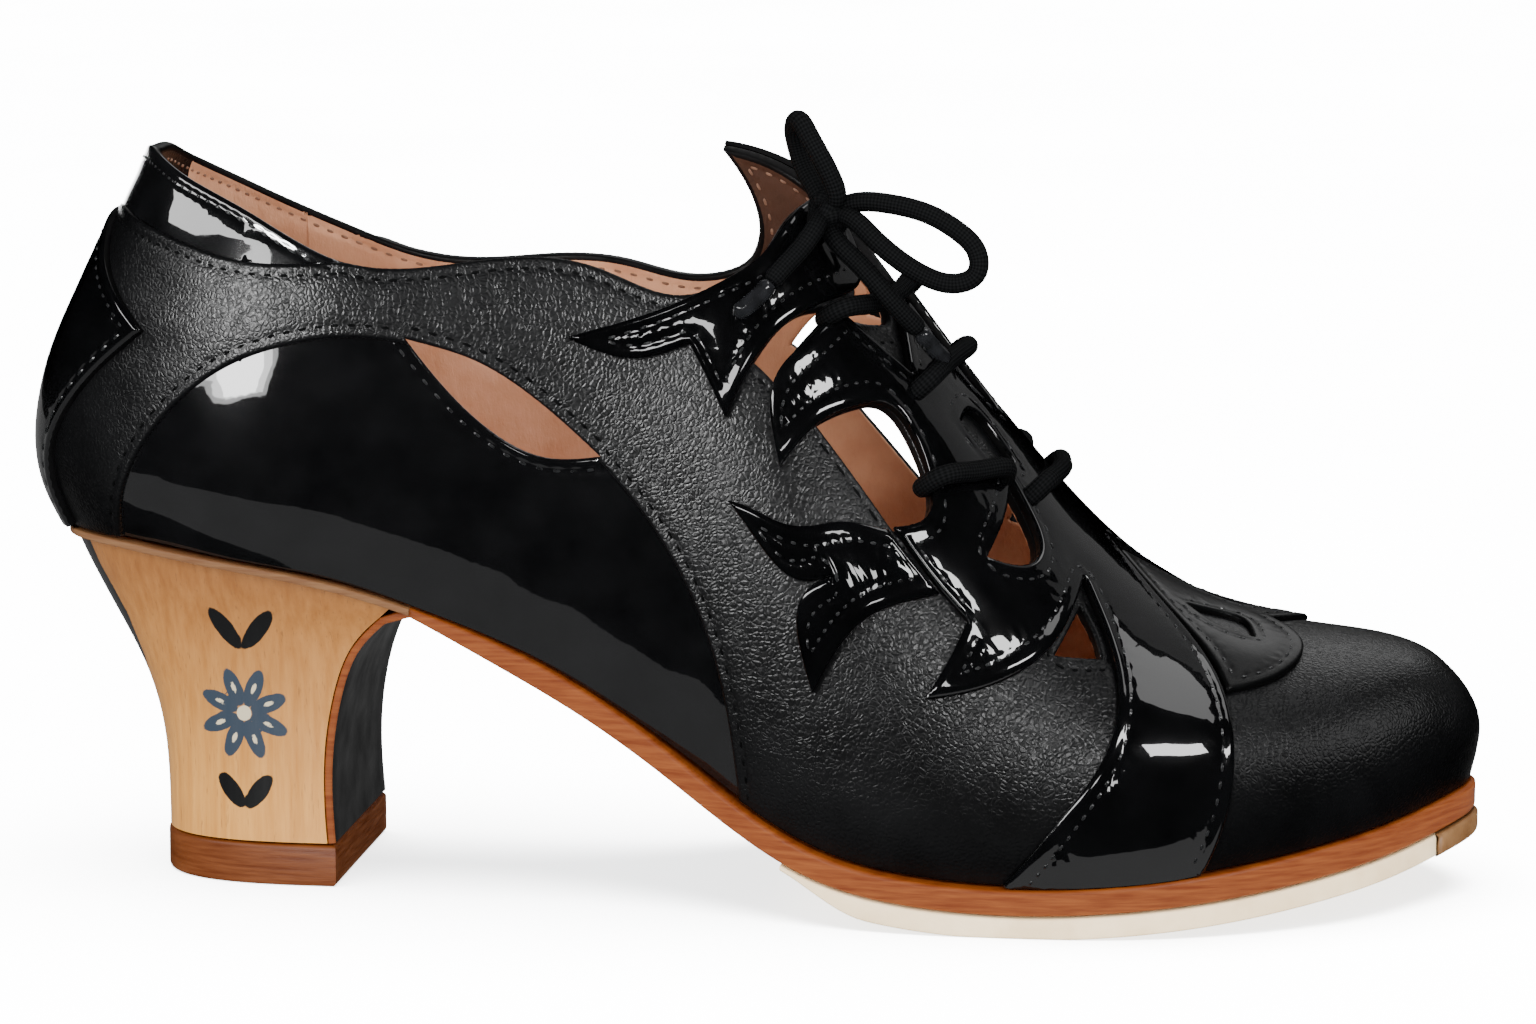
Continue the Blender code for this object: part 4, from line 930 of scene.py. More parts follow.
# Lining painted dark brown, as painted shade inside the curl of the horns.
LINING_PAINTED_SHADE = lining_leather("lining_painted_shade", (0.03, 0.011, 0.005), (0.055, 0.021, 0.01))
EDGE_PAINT = mottled("edge_paint", (0.0015, 0.0015, 0.0015), (0.004, 0.0035, 0.0035), size=5.0, grain=0.6,
                     depth=0.03, roughness=0.42, specular_ior_level=0.1)
SOLE = layered_leather("sole_leather", (0.15, 0.025, 0.001), (0.26, 0.06, 0.003), roughness=0.42)
SOLE_BLACK = mottled("sole_black", (0.0012, 0.0012, 0.0012), (0.003, 0.003, 0.003), size=8.0, grain=0.5,
                     depth=0.03, roughness=0.36, specular_ior_level=0.1)
RAND = layered_leather("rand_leather", (0.15, 0.055, 0.017), (0.22, 0.10, 0.035), roughness=0.5)
CREAM = mottled("pale_sole", (0.58, 0.42, 0.23), (0.68, 0.52, 0.31), size=7.0, grain=0.6, depth=0.05,
                roughness=0.6)
BRONZE = mottled("toe_plate", (0.12, 0.05, 0.014), (0.2, 0.095, 0.03), size=4.0, grain=0.7, depth=0.05,
                 roughness=0.42)
WOOD = heel_wood()
TIP = layered_leather("heel_tip", (0.075, 0.014, 0.0005), (0.135, 0.033, 0.002), roughness=0.42)
LACE_FINISH = braided("lace", (0.0016, 0.0016, 0.0016), (0.008, 0.008, 0.008))
THREAD = mottled("thread_black", (0.001, 0.001, 0.001), (0.004, 0.004, 0.004), size=0.8, grain=0.2,
                 depth=0.04, roughness=0.5, specular_ior_level=0.1)
GLOSS_THREAD = mottled("thread_gloss", (0.004, 0.004, 0.004), (0.02, 0.02, 0.02), size=0.8, grain=0.2,
                       depth=0.03, roughness=0.3, coat_weight=1.0, coat_roughness=0.12)
THREAD_TAN = mottled("thread_tan", (0.17, 0.08, 0.045), (0.28, 0.15, 0.09), size=0.8, grain=0.2, depth=0.04,
                     roughness=0.6)
AGLET = mottled("aglet", (0.004, 0.004, 0.004), (0.014, 0.014, 0.015), size=2.0, grain=0.8, depth=0.06,
                roughness=0.14, spread=0.05, coat_weight=1.0, coat_roughness=0.04)


def ring_faces(count, size):
    """Faces between rings of points, each ring closed."""
    return [[r * size + k, r * size + (k + 1) % size, (r + 1) * size + (k + 1) % size, (r + 1) * size + k]
            for r in range(count - 1) for k in range(size)]


def capsules(name, starts, ends, normals, finish):
    """Short threads from start to end, their ends dipping into the leather."""
    axis = ends - starts
    along = unit(axis)
    side = unit(np.cross(normals, along))
    up = np.cross(along, side)
    points = []
    for share, thick in STITCH_SHAPE:
        centre = starts + share * axis
        dip = -STITCH_RADIUS * STITCH_DIP * (2 * share - 1)**2
        for turn in np.arange(STITCH_SIDES) * 2 * math.pi / STITCH_SIDES:
            out = math.cos(turn) * side + math.sin(turn) * up
            points.append(centre + thick * STITCH_RADIUS * out + dip * up)
    points = np.array(points).transpose(1, 0, 2)
    size = len(STITCH_SHAPE) * STITCH_SIDES
    one = ring_faces(len(STITCH_SHAPE), STITCH_SIDES)
    one += [list(range(STITCH_SIDES))[::-1], list(range(size - STITCH_SIDES, size))]
    faces = [[size * i + j for j in face] for i in range(len(starts)) for face in one]
    return add_mesh(name, points.reshape(-1, 3), faces, [finish])


def stitches(rows, level, lift):
    """Starts, ends and normals of the stitches along rows of chart points."""
    starts, ends, normals = [], [], []
    for row in rows:
        run = chords(row)
        count = int(run[-1] / STITCH_PITCH)
        if count < 2:
            continue
        middle = (np.arange(count) + 0.5) * run[-1] / count

        def at(goal):
            return np.stack([np.interp(goal, run, row[:, k]) for k in range(2)], axis=1)

        centre = at(middle)
        height = level(centre) + lift
        half = STITCH_LENGTH / 2
        starts.append(on_upper(at(middle - half), height))
        ends.append(on_upper(at(middle + half), height))
        normals.append(on_upper(centre, height + 1) - on_upper(centre, height))
    return [np.concatenate(part) for part in (starts, ends, normals)]


# The upper
WINDOWS = [WINDOW_CRESCENT, WINDOW_ROUND, WINDOW_TEAR, WINDOW_WEDGE, WINDOW_THROAT]
AREA_MARGIN = np.array([0, 4.0])
INNER_BLACK = 0.95
# Above this climb, in front of the throat, the lining gets painted shade.
SHADED_HORN_CLIMB = 0.7
# Below this climb and before the next place, the lining gets painted light.
LIT_LINING_CLIMB = 0.46
LIT_LINING_END = 118.0


def patent_areas():
    """Areas of the upper that lie a step lower, and the lines of their steps."""
    areas = []
    lines = []
    for side in (-1, 1):
        low = smooth_run(chart(QUARTER_LOW, side), EDGE_SPACING)
        floor = feather(low[-1, 0], low[0, 0], side) + side * AREA_MARGIN
        areas.append(np.concatenate([low, floor]))
        top = smooth_run(chart(QUARTER_TOP, side), EDGE_SPACING)
        rim = trace(COLLARS[side][:1], side)
        rim = rim[rim[:, 0] < COLLAR_STEP_END][::-1] - side * AREA_MARGIN
        rim[-1, 0] = -AREA_MARGIN[1]
        corner = top[:1] - AREA_MARGIN[::-1]
        areas.append(np.concatenate([corner, top, rim]))
        lines += [low, top]
    return areas, lines


PATENT_AREAS, STEP_LINES = patent_areas()
STEPS = Edges(STEP_LINES)


def in_patent(flat):
    """Which chart points lie on the upper's own patent panels."""
    return on_piece(flat, PATENT_AREAS)


def upper_outline():
    """The wall's outer edge on the chart: feather edges, toe seam, back seam, collar and throat."""
    halves = []
    for side in (-1, 1):
        floor = feather(0, SIDE_LENGTH, side)
        toe = seam(SIDE_LENGTH, 0, RIDGE, side)
        throat = trace(COLLARS[side], side)
        back = seam(0, COLLAR_TOP, 0, side)
        halves.append((np.concatenate([floor[:-1], toe]), np.concatenate([throat[::-1], back[1:-1]])))
    (lateral_floor, lateral_rim), (medial_floor, medial_rim) = halves
    return np.concatenate([lateral_floor, medial_floor[::-1][1:], medial_rim[::-1], lateral_rim[1:]])


LINING_START = 22.8
LINING_LAP = 55.3
LINING_LAP_STEP = 0.35
LINING_LAP_REACH = 16.0
LINING_SEAM_LOW = 0.3
LINING_SEAMS = ((LINING_START, 0.7), (LINING_LAP, 0.57))
LINING_LINES = [seam(along, LINING_SEAM_LOW, high, side) for along, high in LINING_SEAMS for side in (-1, 1)]
COLLAR_LINES = [trace(COLLARS[side], side) for side in (-1, 1)]
WINDOW_LOOPS = [closed(runs, side) for runs in WINDOWS for side in (-1, 1)] + [closed(WINDOW_SLIT, -1)]
UPPER = Patch([upper_outline()], WINDOW_LOOPS, COLLAR_LINES + [loop_line(loop) for loop in WINDOW_LOOPS],
              UPPER_GRID, STEP_LINES + LINING_LINES)
COLLAR_EDGES = Edges(COLLAR_LINES)


def stitch_beat(run):
    """Rise and fall of the leather with each stitch."""
    return np.cos(2 * math.pi * run / STITCH_PITCH)


CALM_EDGE = 1.0
CALM_REACH = 6.0
LINING_GROOVE = (0.2, 0.6)
LINING_CALM_EDGE = 2.0


def upper_level(flat):
    """Outer face of the upper: matte leather, lower patent panels, rounded rims, stitch grooves, creases."""
    rim, run = UPPER.edges.near(flat)
    step = STEPS.near(flat)[0]
    patent = in_patent(flat)
    drop = np.where(patent, PATENT_STEP, STEP_ROUND * rounding(step, STEP_ROUND))
    level = LEATHER_LEVEL - drop * ease(flat[:, 0] / BACK_FLUSH)
    radius = np.where(patent, PATENT_ROUND, EDGE_ROUND)
    level = level - radius * rounding(rim, radius)
    groove = hump(rim - GROOVE_PLACE, GROOVE_WIDTH) * (1 + GROOVE_BEAT * stitch_beat(run))
    seam_groove = hump(step - GROOVE_PLACE, GROOVE_WIDTH) * ~patent
    level = level - GROOVE_DEPTH * np.maximum(groove, seam_groove)
    calm = ease((np.minimum(rim, step) - CALM_EDGE) / CALM_REACH)
    wave = PATENT_WAVE * np.sin(2 * math.pi * flat[:, 0] / PATENT_WAVE_RUN) * patent
    return level - calm * (crease_depth(flat, CREASES) * ~patent + wave)


def lining_level(flat):
    """Inner face of the upper."""
    rim = UPPER.edges.near(flat)[0]
    level = LINING_LEVEL + INNER_ROUND * rounding(rim, INNER_ROUND)
    depth, width = LINING_GROOVE
    groove = depth * hump(COLLAR_EDGES.near(flat)[0] - LINING_STITCH_INSET, width)
    past = flat[:, 0] - LINING_LAP
    lap = LINING_LAP_STEP * (past > 0) * ease(1 - past / LINING_LAP_REACH)
    lap = lap * ease((rim - CALM_EDGE) / LINING_CALM_EDGE)
    calm = ease((rim - LINING_CALM_EDGE) / CALM_REACH)
    return level + groove - lap + calm * crease_depth(flat, LINING_CREASES)


def paint_upper(group, centres):
    """Finish of each face of the upper, from its group and place."""
    if group == "outer":
        return [PATENT if patent else MATTE for patent in in_patent(centres)]
    if group == "inner":
        edge = COLLAR_EDGES.near(centres)[0] < INNER_BLACK
        back = centres[:, 0] < LINING_START
        climb = 1 - np.abs(centres[:, 1]) / GIRTH(centres[:, 0])
        # Painted shade: the lining high in the horns gets a dark brown copy of the lining.
        horn = (climb > SHADED_HORN_CLIMB) & (centres[:, 0] < THROAT_SIDE[0][0])
        # Painted light: the low lining behind the throat gets a lighter copy of the lining.
        low = (climb < LIT_LINING_CLIMB) & (centres[:, 0] < LIT_LINING_END)
        chosen = np.select([edge, back, horn, low], [0, 1, 2, 3], 4)
        return [(EDGE_PAINT, MATTE, LINING_PAINTED_SHADE, LINING_PAINTED_LIT, LINING)[i] for i in chosen]
    return [EDGE_PAINT] * len(centres)


def parted(rows):
    """Rows of stitches on matte leather, and on patent leather."""
    parts = ([], [])
    for row in rows:
        for patent, part in parts_by(in_patent(row), row):
            parts[patent].append(part)
    return parts


def make_upper():
    """The wall with its lining, and the stitches on both faces."""
    place(UPPER.build("upper_leather", upper_level, lining_level, paint_upper), "matte_leather", "upper")
    rows = UPPER.rows(UPPER.rims, GROOVE_PLACE)
    rows += [row for row in UPPER.rows(STEP_LINES, GROOVE_PLACE) if not in_patent(row)[len(row) // 2]]
    for name, part, thread in zip(("matte", "patent"), parted(rows), (THREAD, GLOSS_THREAD)):
        seams = stitches(part, upper_level, STITCH_LIFT)
        place(capsules(f"upper_stitches_{name}", *seams, thread), f"{name}_leather")
    rows = UPPER.rows(COLLAR_LINES, LINING_STITCH_INSET)
    seams = stitches(rows, lining_level, -STITCH_LIFT)
    seams[2] = -seams[2]
    place(capsules("lining_stitches", *seams, THREAD_TAN), "lining_leather")


# Overlays
COUNTER_THIN = 1.3
COUNTER_THIN_REACH = 17.0
COUNTER_THIN_CLIMB = (0.32, 0.58)


def counter_top(flat):
    """Top of the counter, thinned where it reaches the back seam's upper end."""
    climb = 1 - np.abs(flat[:, 1]) / GIRTH(flat[:, 0])
    low, high = COUNTER_THIN_CLIMB
    thin = ease((climb - low) / (high - low)) * ease(1 - flat[:, 0] / COUNTER_THIN_REACH)
    return OVERLAY_TOP - COUNTER_THIN * thin


def overlay_level(patch, shape):
    """Outer face of an overlay: rounded rim, groove of the stitches and a soft puff inside it."""
    def level(flat):
        top = shape(flat) if callable(shape) else shape
        rim, run = patch.edges.near(flat)
        beat = stitch_beat(run)
        groove = GROOVE_DEPTH * hump(rim - GROOVE_PLACE, GROOVE_WIDTH) * (1 + GROOVE_BEAT * beat)
        pucker = RIPPLE * beat * hump(rim - GROOVE_PLACE - RIPPLE_PLACE, RIPPLE_WIDTH)
        puff = PUFF * ease((rim - GROOVE_PLACE) / PUFF_REACH)
        return top - EDGE_ROUND * rounding(rim, EDGE_ROUND) - groove + pucker + puff

    return level


def overlay(name, outlines, holes, rims, top, finish, node):
    """An overlay with its stitches."""
    patch = Patch(outlines, holes, rims + [loop_line(hole) for hole in holes], OVERLAY_GRID)
    level = overlay_level(patch, top)
    piece = patch.build(name, level, lambda flat: np.full(len(flat), OVERLAY_FOOT_LEVEL),
                        lambda group, centres: [finish if group == "outer" else EDGE_PAINT] * len(centres))
    place(piece, "patent_leather", node)
    return stitches(patch.rows(patch.rims, GROOVE_PLACE), level, STITCH_LIFT)


def make_overlays():
    """Counter, vamp strap, ornament and flames, and the stitches of them all."""
    seams = []
    outlines = []
    rims = []
    for side in (-1, 1):
        floor = feather(0, COUNTER_EDGE[0][0][0], side, OVERLAY_FOOT)
        edge = trace(COUNTER_EDGE, side)
        back = seam(0, COUNTER_EDGE[-1][-1][1], OVERLAY_FOOT, side)
        outlines.append(np.concatenate([floor[:-1], edge[:-1], back[:-1]]))
        rims.append(edge)
    seams.append(overlay("counter_patent", outlines, [], rims, counter_top, PATENT, "counter"))

    floor = feather(STRAP_FRONT[-1][0], STRAP_REAR[0][0], -1, OVERLAY_FOOT)
    front = trace([STRAP_FRONT], -1)
    flames = trace([STRAP_REAR] + VAMP_FLAMES, -1)
    outline = both_sides(np.concatenate([front[:-1], floor[:-1], flames]))
    cuts = [closed(runs, side) for runs in (WINDOW_TEAR, LEAF) for side in (-1, 1)]
    rims = [line * (1, way) for line in (front, flames) for way in (1, -1)]
    seams.append(overlay("vamp_flames", [outline], cuts, rims, OVERLAY_TOP, FLAME_PATENT, "vamp_patent"))

    edge = trace(ORNAMENT_EDGE, -1)
    eyes = [closed(ORNAMENT_EYE, side) for side in (-1, 1)]
    rims = [edge, edge * (1, -1)]
    seams.append(overlay("ornament", [both_sides(edge)], eyes, rims, ORNAMENT_TOP, ORNAMENT_LEATHER,
                         "vamp_ornament"))

    for side, name in SIDES:
        for height, runs in (("upper", FLAME_UPPER[side]), ("lower", FLAME_LOWER)):
            loop = closed(runs, side)
            seams.append(overlay(f"flame_patent_{height}_{name}", [loop], [], [loop_line(loop)], OVERLAY_TOP,
                                 FLAME_PATENT, f"flame_{height}_{name}"))
    seams = [np.concatenate(part) for part in zip(*seams)]
    place(capsules("overlay_stitches", *seams, GLOSS_THREAD), "patent_leather")


# Sole and heel
SEAT_GAP = 0.3
OUTSOLE_COLUMNS = ("x", "thick", "out")
OUTSOLE_ROWS = [
    (31.0, 1.6, -0.6), (44.0, 3.6, 0.0), (60.0, 4.6, 0.5), (86.0, 4.6, 1.4), (110.0, 4.3, 2.0),
    (150.0, 4.3, 1.8), (185.0, 4.8, 1.0), (TOE_X, 4.8, 0.4),
]
BREAST_GAP = 0.1
FLAP = 1.3
FLAP_STEP = 1.0
FLAP_ROUND = 0.4
FLAP_START = 6.0
HEEL_COLUMNS = ("back_x", "back_z", "breast_x", "breast_z", "half_width", "square")
HEEL_RINGS = [
    (-30.8, 56.3, 27.6, 47.7, 27.4, 2.25),
    (-28.4, 51.6, 24.6, 45.6, 25.6, 2.3),
    (-25.2, 45.6, 20.4, 41.0, 23.6, 2.35),
    (-20.9, 37.9, 17.6, 34.8, 22.5, 2.45),
    (-17.6, 30.2, 16.0, 28.0, 22.0, 2.55),
    (-15.7, 21.6, 15.2, 21.0, 21.9, 2.65),
    (-15.1, 13.0, 15.2, 13.0, 21.9, 2.75),
    (-15.0, 7.4, 15.6, 7.4, 22.0, 2.8),
]
HEEL_ROWS = 90
HEEL_AROUND = 190
HEEL_FINE = 4 * HEEL_AROUND
HEEL_BREAST = 50
HEEL_TIP = 7.05
HEEL_TIP_OUT = 0.3
HEEL_TIP_ROUND = 0.8
SEAT_RAND = 1.2
SEAT_END = 31.0
HEEL_DROP = SEAT_GAP + SEAT_RAND + SEAT_GAP
HALF_SOLE = 3.2
HALF_SOLE_FLAT = 0.35
HALF_SOLE_REAR = 94.0
HALF_SOLE_FRONT = 198.1
HALF_SOLE_TAPER = 14.0
HALF_SOLE_REAR_SHARE = 0.25
TOE_PLATE = 3.6
TOE_PLATE_OUT = 0.5
TOE_PLATE_REAR = 198.2
INSOLE = 2.4
INSOLE_LIFT = 0.15
INSOLE_INSET = WALL + 1.0
SOLE_STEP = 1.6
SOLE_CORNER = 5
SOLE_ACROSS = 9
SOLE_ROUND = 0.8
HALF_SOLE_ROUND = 0.5
TOE_PLATE_ROUND = 0.7
INSOLE_ROUND = 0.6
SEAT_ROUND = 0.35
ROUND_SHARE = 0.45
OUTSOLE = columns(OUTSOLE_COLUMNS, OUTSOLE_ROWS)
HEEL = dict(zip(HEEL_COLUMNS, np.transpose(HEEL_RINGS)))


def feather_z(along):
    """Height of the feather edge."""
    return LAST["feather_z"](along)


def outsole_bottom(along):
    """Height of the outsole's underside."""
    return feather_z(along) - SEAT_GAP - OUTSOLE["thick"](station_x(along))


def feather_plan(along, side, out):
    """x and y of the feather edge, moved outwards in plan."""
    across = np.full(len(along), float(side))
    normal = unit(grid_value(LAST_NORMALS, along, across)[:, :2])
    return grid_value(LAST_POINTS, along, across)[:, :2] + np.asarray(out)[:, None] * normal


def wall_profile(thick, radius):
    """Insets and drops down a wall with two rounded corners."""
    turn = np.linspace(0, QUARTER_TURN, SOLE_CORNER)
    inset = np.concatenate([radius * (1 - np.sin(turn)), radius * (1 - np.cos(turn))])
    drop = np.concatenate([radius * (1 - np.cos(turn)), thick - radius * (1 - np.sin(turn))])
    return inset, drop


ACROSS = np.linspace(0, 1, SOLE_ACROSS + 2)[1:-1]


def slab_ring(edge, thick, radius):
    """Closed ring round a slab's section. edge gives the points at a side, insets and drops."""
    inset, drop = wall_profile(thick, radius)
    lateral = edge(-1, inset, drop)
    medial = edge(1, inset, drop)
    low = lateral[-1] + ACROSS[:, None] * (medial[-1] - lateral[-1])
    top = medial[0] + ACROSS[:, None] * (lateral[0] - medial[0])
    return np.concatenate([lateral, low, medial[::-1], top])


WALL_POINTS = 2 * SOLE_CORNER
LOW_SPAN = range(WALL_POINTS - 1, WALL_POINTS + SOLE_ACROSS)


def sole_rings(along, out, top, bottom, radius):
    """Rings across the sole at stations along the feather edge."""
    rings = []
    for a, o, high, low in zip(along, out, top, bottom):
        def edge(side, inset, drop, a=a, o=o, high=high):
            plan = feather_plan(np.full(len(inset), a), side, o - inset)
            return np.column_stack([plan, high - drop])

        rings.append(slab_ring(edge, high - low, min(radius, ROUND_SHARE * (high - low))))
    return rings


def loft(name, rings, finishes, slot=None, caps=(True, True), values=None):
    """Closed body through rings of as many points each. slot gives a face its finish by ring and span."""
    rings = np.asarray(rings, float)
    count, size = rings.shape[:2]
    faces = ring_faces(count, size)
    slots = [slot(r, k) if slot else 0 for r in range(count - 1) for k in range(size)]
    for cap, r in zip(caps, (0, count - 1)):
        if cap:
            faces.append([r * size + k for k in range(size)])
            slots.append(0)
    made = add_mesh(name, rings.reshape(-1, 3), faces, finishes, slots, values=values)
    shape = bmesh.new()
    shape.from_mesh(made.data)
    bmesh.ops.recalc_face_normals(shape, faces=shape.faces)
    shape.to_mesh(made.data)
    shape.free()
    return made


def stations(start, end):
    """Even stations between two places along the side."""
    return np.linspace(start, end, max(2, round(abs(end - start) / SOLE_STEP)) + 1)


def make_outsole():
    """Leather sole from the toe to the heel, where it turns down the breast as a thin flap."""
    along = stations(SIDE_LENGTH, along_at(OUTSOLE_ROWS[0][0]))
    top = feather_z(along) - SEAT_GAP
    out = OUTSOLE["out"](station_x(along))
    rings = sole_rings(along, out, top, outsole_bottom(along), SOLE_ROUND)
    sole_count = len(rings)
    lateral, medial = (feather_plan(along[-1:], side, out[-1:])[0] for side in (-1, 1))
    start = [lateral[0], top[-1], abs(lateral[1] - medial[1]) / 2]
    breast = np.column_stack([HEEL["breast_x"], HEEL["breast_z"], HEEL["half_width"]])
    curve = smooth_run([start] + breast.tolist(), FLAP_STEP)
    run = unit(np.gradient(curve[:, :2], axis=0))
    facing = np.stack([-run[:, 1], run[:, 0]], axis=1)
    for (x, z, width), (ahead, up) in list(zip(curve, facing))[round(FLAP_START / FLAP_STEP):]:
        def edge(side, inset, drop, x=x, z=z, width=width, ahead=ahead, up=up):
            return np.stack([x + drop * ahead, side * (width - inset), z + drop * up], axis=1)

        rings.append(slab_ring(edge, FLAP, FLAP_ROUND))
    black_end = along_at(HALF_SOLE_REAR)

    def slot(r, k):
        return int(k in LOW_SPAN and (r >= sole_count - 1 or along[r] < black_end))

    piece = loft("outsole_leather", rings, [SOLE, SOLE_BLACK], slot, caps=(False, True))
    place(piece, "sole_leather", "outsole")


def make_sole_layers():
    """Pale half sole, toe plate, insole and the rand under the heel seat."""
    along = stations(along_at(HALF_SOLE_REAR), along_at(HALF_SOLE_FRONT))
    x = station_x(along)
    top = outsole_bottom(along) - SEAT_GAP
    taper = ease((x - HALF_SOLE_REAR) / HALF_SOLE_TAPER)
    share = HALF_SOLE_REAR_SHARE + (1 - HALF_SOLE_REAR_SHARE) * taper
    bottom = np.maximum(top - (HALF_SOLE + HALF_SOLE_FLAT) * share, 0)
    rings = sole_rings(along, OUTSOLE["out"](x), top, bottom, HALF_SOLE_ROUND)
    place(loft("half_sole_pale", rings, [CREAM]), "pale_sole", "half_sole")

    along = stations(along_at(TOE_PLATE_REAR), SIDE_LENGTH)
    top = outsole_bottom(along) - SEAT_GAP
    out = OUTSOLE["out"](station_x(along)) + TOE_PLATE_OUT
    rings = sole_rings(along, out, top, top - TOE_PLATE, TOE_PLATE_ROUND)
    place(loft("toe_plate_bronze", rings, [BRONZE], caps=(True, False)), "toe_plate", "toe_plate")

    along = stations(INSOLE_INSET, SIDE_LENGTH - INSOLE_INSET)
    low = feather_z(along) + INSOLE_LIFT
    rings = sole_rings(along, np.full(len(along), -INSOLE_INSET), low + INSOLE, low, INSOLE_ROUND)
    place(loft("footbed", rings, [LINING]), "lining_leather", "insole")

    along = stations(0, along_at(SEAT_END))
    top = feather_z(along) - SEAT_GAP
    rings = sole_rings(along, np.zeros(len(along)), top, top - SEAT_RAND, SEAT_ROUND)
    place(loft("heel_rand", rings, [RAND], caps=(False, True)), "rand_leather", "heel_seat")


def heel_plan(back_x, breast_x, half_width, square):
    """Plan of the heel: rounded at the back, straight across the breast."""
    turn = np.linspace(-QUARTER_TURN, QUARTER_TURN, HEEL_FINE)
    y = half_width * np.sign(turn) * np.abs(np.sin(turn))**(2 / square)
    x = breast_x - (breast_x - back_x) * np.abs(np.cos(turn))**(2 / square)
    around = resample(np.stack([x, y], axis=1), HEEL_AROUND)
    share = np.linspace(0, 1, HEEL_BREAST + 1)[1:-1, None]
    return np.concatenate([around, around[-1] + share * (around[0] - around[-1])])


ROSETTE = (1.5, 29.0)
ROSETTE_PETALS = 8
PETAL_REACH = 4.6
PETAL_HALF = (3.4, 1.45)
LEAF_PAIRS = [(1.5, 43.5, 8.5), (1.5, 15.8, 7.0)]
LEAF_TILT = math.radians(38)
LEAF_SHIFT = 0.34
LEAF_HALF = (0.5, 1.5)
ROSETTE_EYE = (1.3, 1.3)
PETAL_DOT = (1.0, 0.4)
PAINT_SIDE = 12.0
BACK_PANEL = [
    (5.0, -17.0), (20.0, -16.8), (28.0, -16.9), (36.0, -17.6), (44.0, -20.2), (52.0, -24.6), (60.0, -28.0),
]


def oval(x, z, centre, half, tilt):
    """How far inside an oval, about in millimetres."""
    along = (x - centre[0]) * math.cos(tilt) + (z - centre[1]) * math.sin(tilt)
    across = (z - centre[1]) * math.cos(tilt) - (x - centre[0]) * math.sin(tilt)
    return (1 - np.hypot(along / half[0], across / half[1])) * min(half)


def heel_fields(points):
    """Painted areas of the heel: a rosette between leaf pairs on each side, and a dark back."""
    x, y, z = points.T
    petals = []
    dots = [oval(x, z, ROSETTE, ROSETTE_EYE, 0)]
    for i in range(ROSETTE_PETALS):
        turn = 2 * math.pi * (i + 0.5) / ROSETTE_PETALS
        centre = (ROSETTE[0] + PETAL_REACH * math.cos(turn), ROSETTE[1] + PETAL_REACH * math.sin(turn))
        petals.append(oval(x, z, centre, PETAL_HALF, turn))
        dots.append(oval(x, z, centre, PETAL_DOT, turn))
    leaves = []
    for leaf_x, leaf_z, length in LEAF_PAIRS:
        for way in (-1, 1):
            tilt = QUARTER_TURN - way * LEAF_TILT
            centre = (leaf_x + way * length * LEAF_SHIFT, leaf_z)
            leaves.append(oval(x, z, centre, (length * LEAF_HALF[0], LEAF_HALF[1]), tilt))
    panel = np.interp(z, *np.transpose(BACK_PANEL)) - x
    flank = np.abs(y) - PAINT_SIDE
    dark, slate, cream = (np.minimum(np.max(marks, axis=0), flank) for marks in (leaves, petals, dots))
    return {"dark": np.maximum(panel, dark), "slate": slate, "cream": cream}


def make_heel():
    """Wooden heel under the seat and its top piece on the floor."""
    shape = columns(("row",) + HEEL_COLUMNS, [(i, *ring) for i, ring in enumerate(HEEL_RINGS)])
    rings = []
    for t in np.linspace(0, len(HEEL_RINGS) - 1, HEEL_ROWS):
        ring = [float(shape[key](t)) for key in HEEL_COLUMNS]
        back_x, back_z, breast_x, breast_z, half_width, square = ring
        breast_x -= BREAST_GAP
        x, y = heel_plan(back_x, breast_x, half_width, square).T
        z = back_z + (breast_z - back_z) * (x - back_x) / (breast_x - back_x)
        if t < 1:
            share = (x - HEEL["back_x"][0]) / (HEEL["breast_x"][0] - BREAST_GAP - HEEL["back_x"][0])
            flat = HEEL["back_z"][0] + (HEEL["breast_z"][0] - HEEL["back_z"][0]) * share
            z = z + (1 - t)**2 * (feather_z(along_at(x)) - HEEL_DROP - flat)
        rings.append(np.stack([x, y, z], axis=1))
    fields = heel_fields(np.concatenate(rings))
    place(loft("heel_maple", rings, [WOOD], values=fields), "heel_wood", "heel")

    back_x, _, breast_x, _, half_width, square = HEEL_RINGS[-1]
    inset, drop = wall_profile(HEEL_TIP, HEEL_TIP_ROUND)
    rings = []
    for e, down in zip(inset, drop):
        width = half_width + HEEL_TIP_OUT / 2 - e
        plan = heel_plan(back_x - HEEL_TIP_OUT + e, breast_x + FLAP - e, width, square)
        rings.append(np.column_stack([plan, np.full(len(plan), HEEL_TIP - down)]))
    place(loft("heel_top_piece", rings, [TIP]), "heel_tip", "heel_tip")


# Lace
LACE = 3.3
LACE_SIDES = 18
LACE_STEP = 0.7
LACE_GAP = 0.35
LACE_LEVEL = OVERLAY_TOP + LACE_GAP + LACE / 2
LACE_DIVE = 0.35
LACE_DIVE_LEVEL = -2.4
LACE_BAR_LOW = [(168.7, 0.65), (173.3, 0.708), (177.8, 0.775)]
LACE_CROSSINGS = {
    "lace_bar_vamp": [(183.3, 0.83), (184.8, 0.92), (185.3, RIDGE)],
    "lace_bar_middle": [(165.1, 0.792), (166.9, 0.858), (169.2, RIDGE)],
    "lace_bar_top": [(151.8, 0.755), (155.1, 0.80), (158.8, 0.88), (160.2, RIDGE)],
}
KNOT_PLACE = (147.2, 0.845)
KNOT_HALF = 3.2
KNOT_LEVEL = OVERLAY_TOP + LACE_GAP + KNOT_HALF
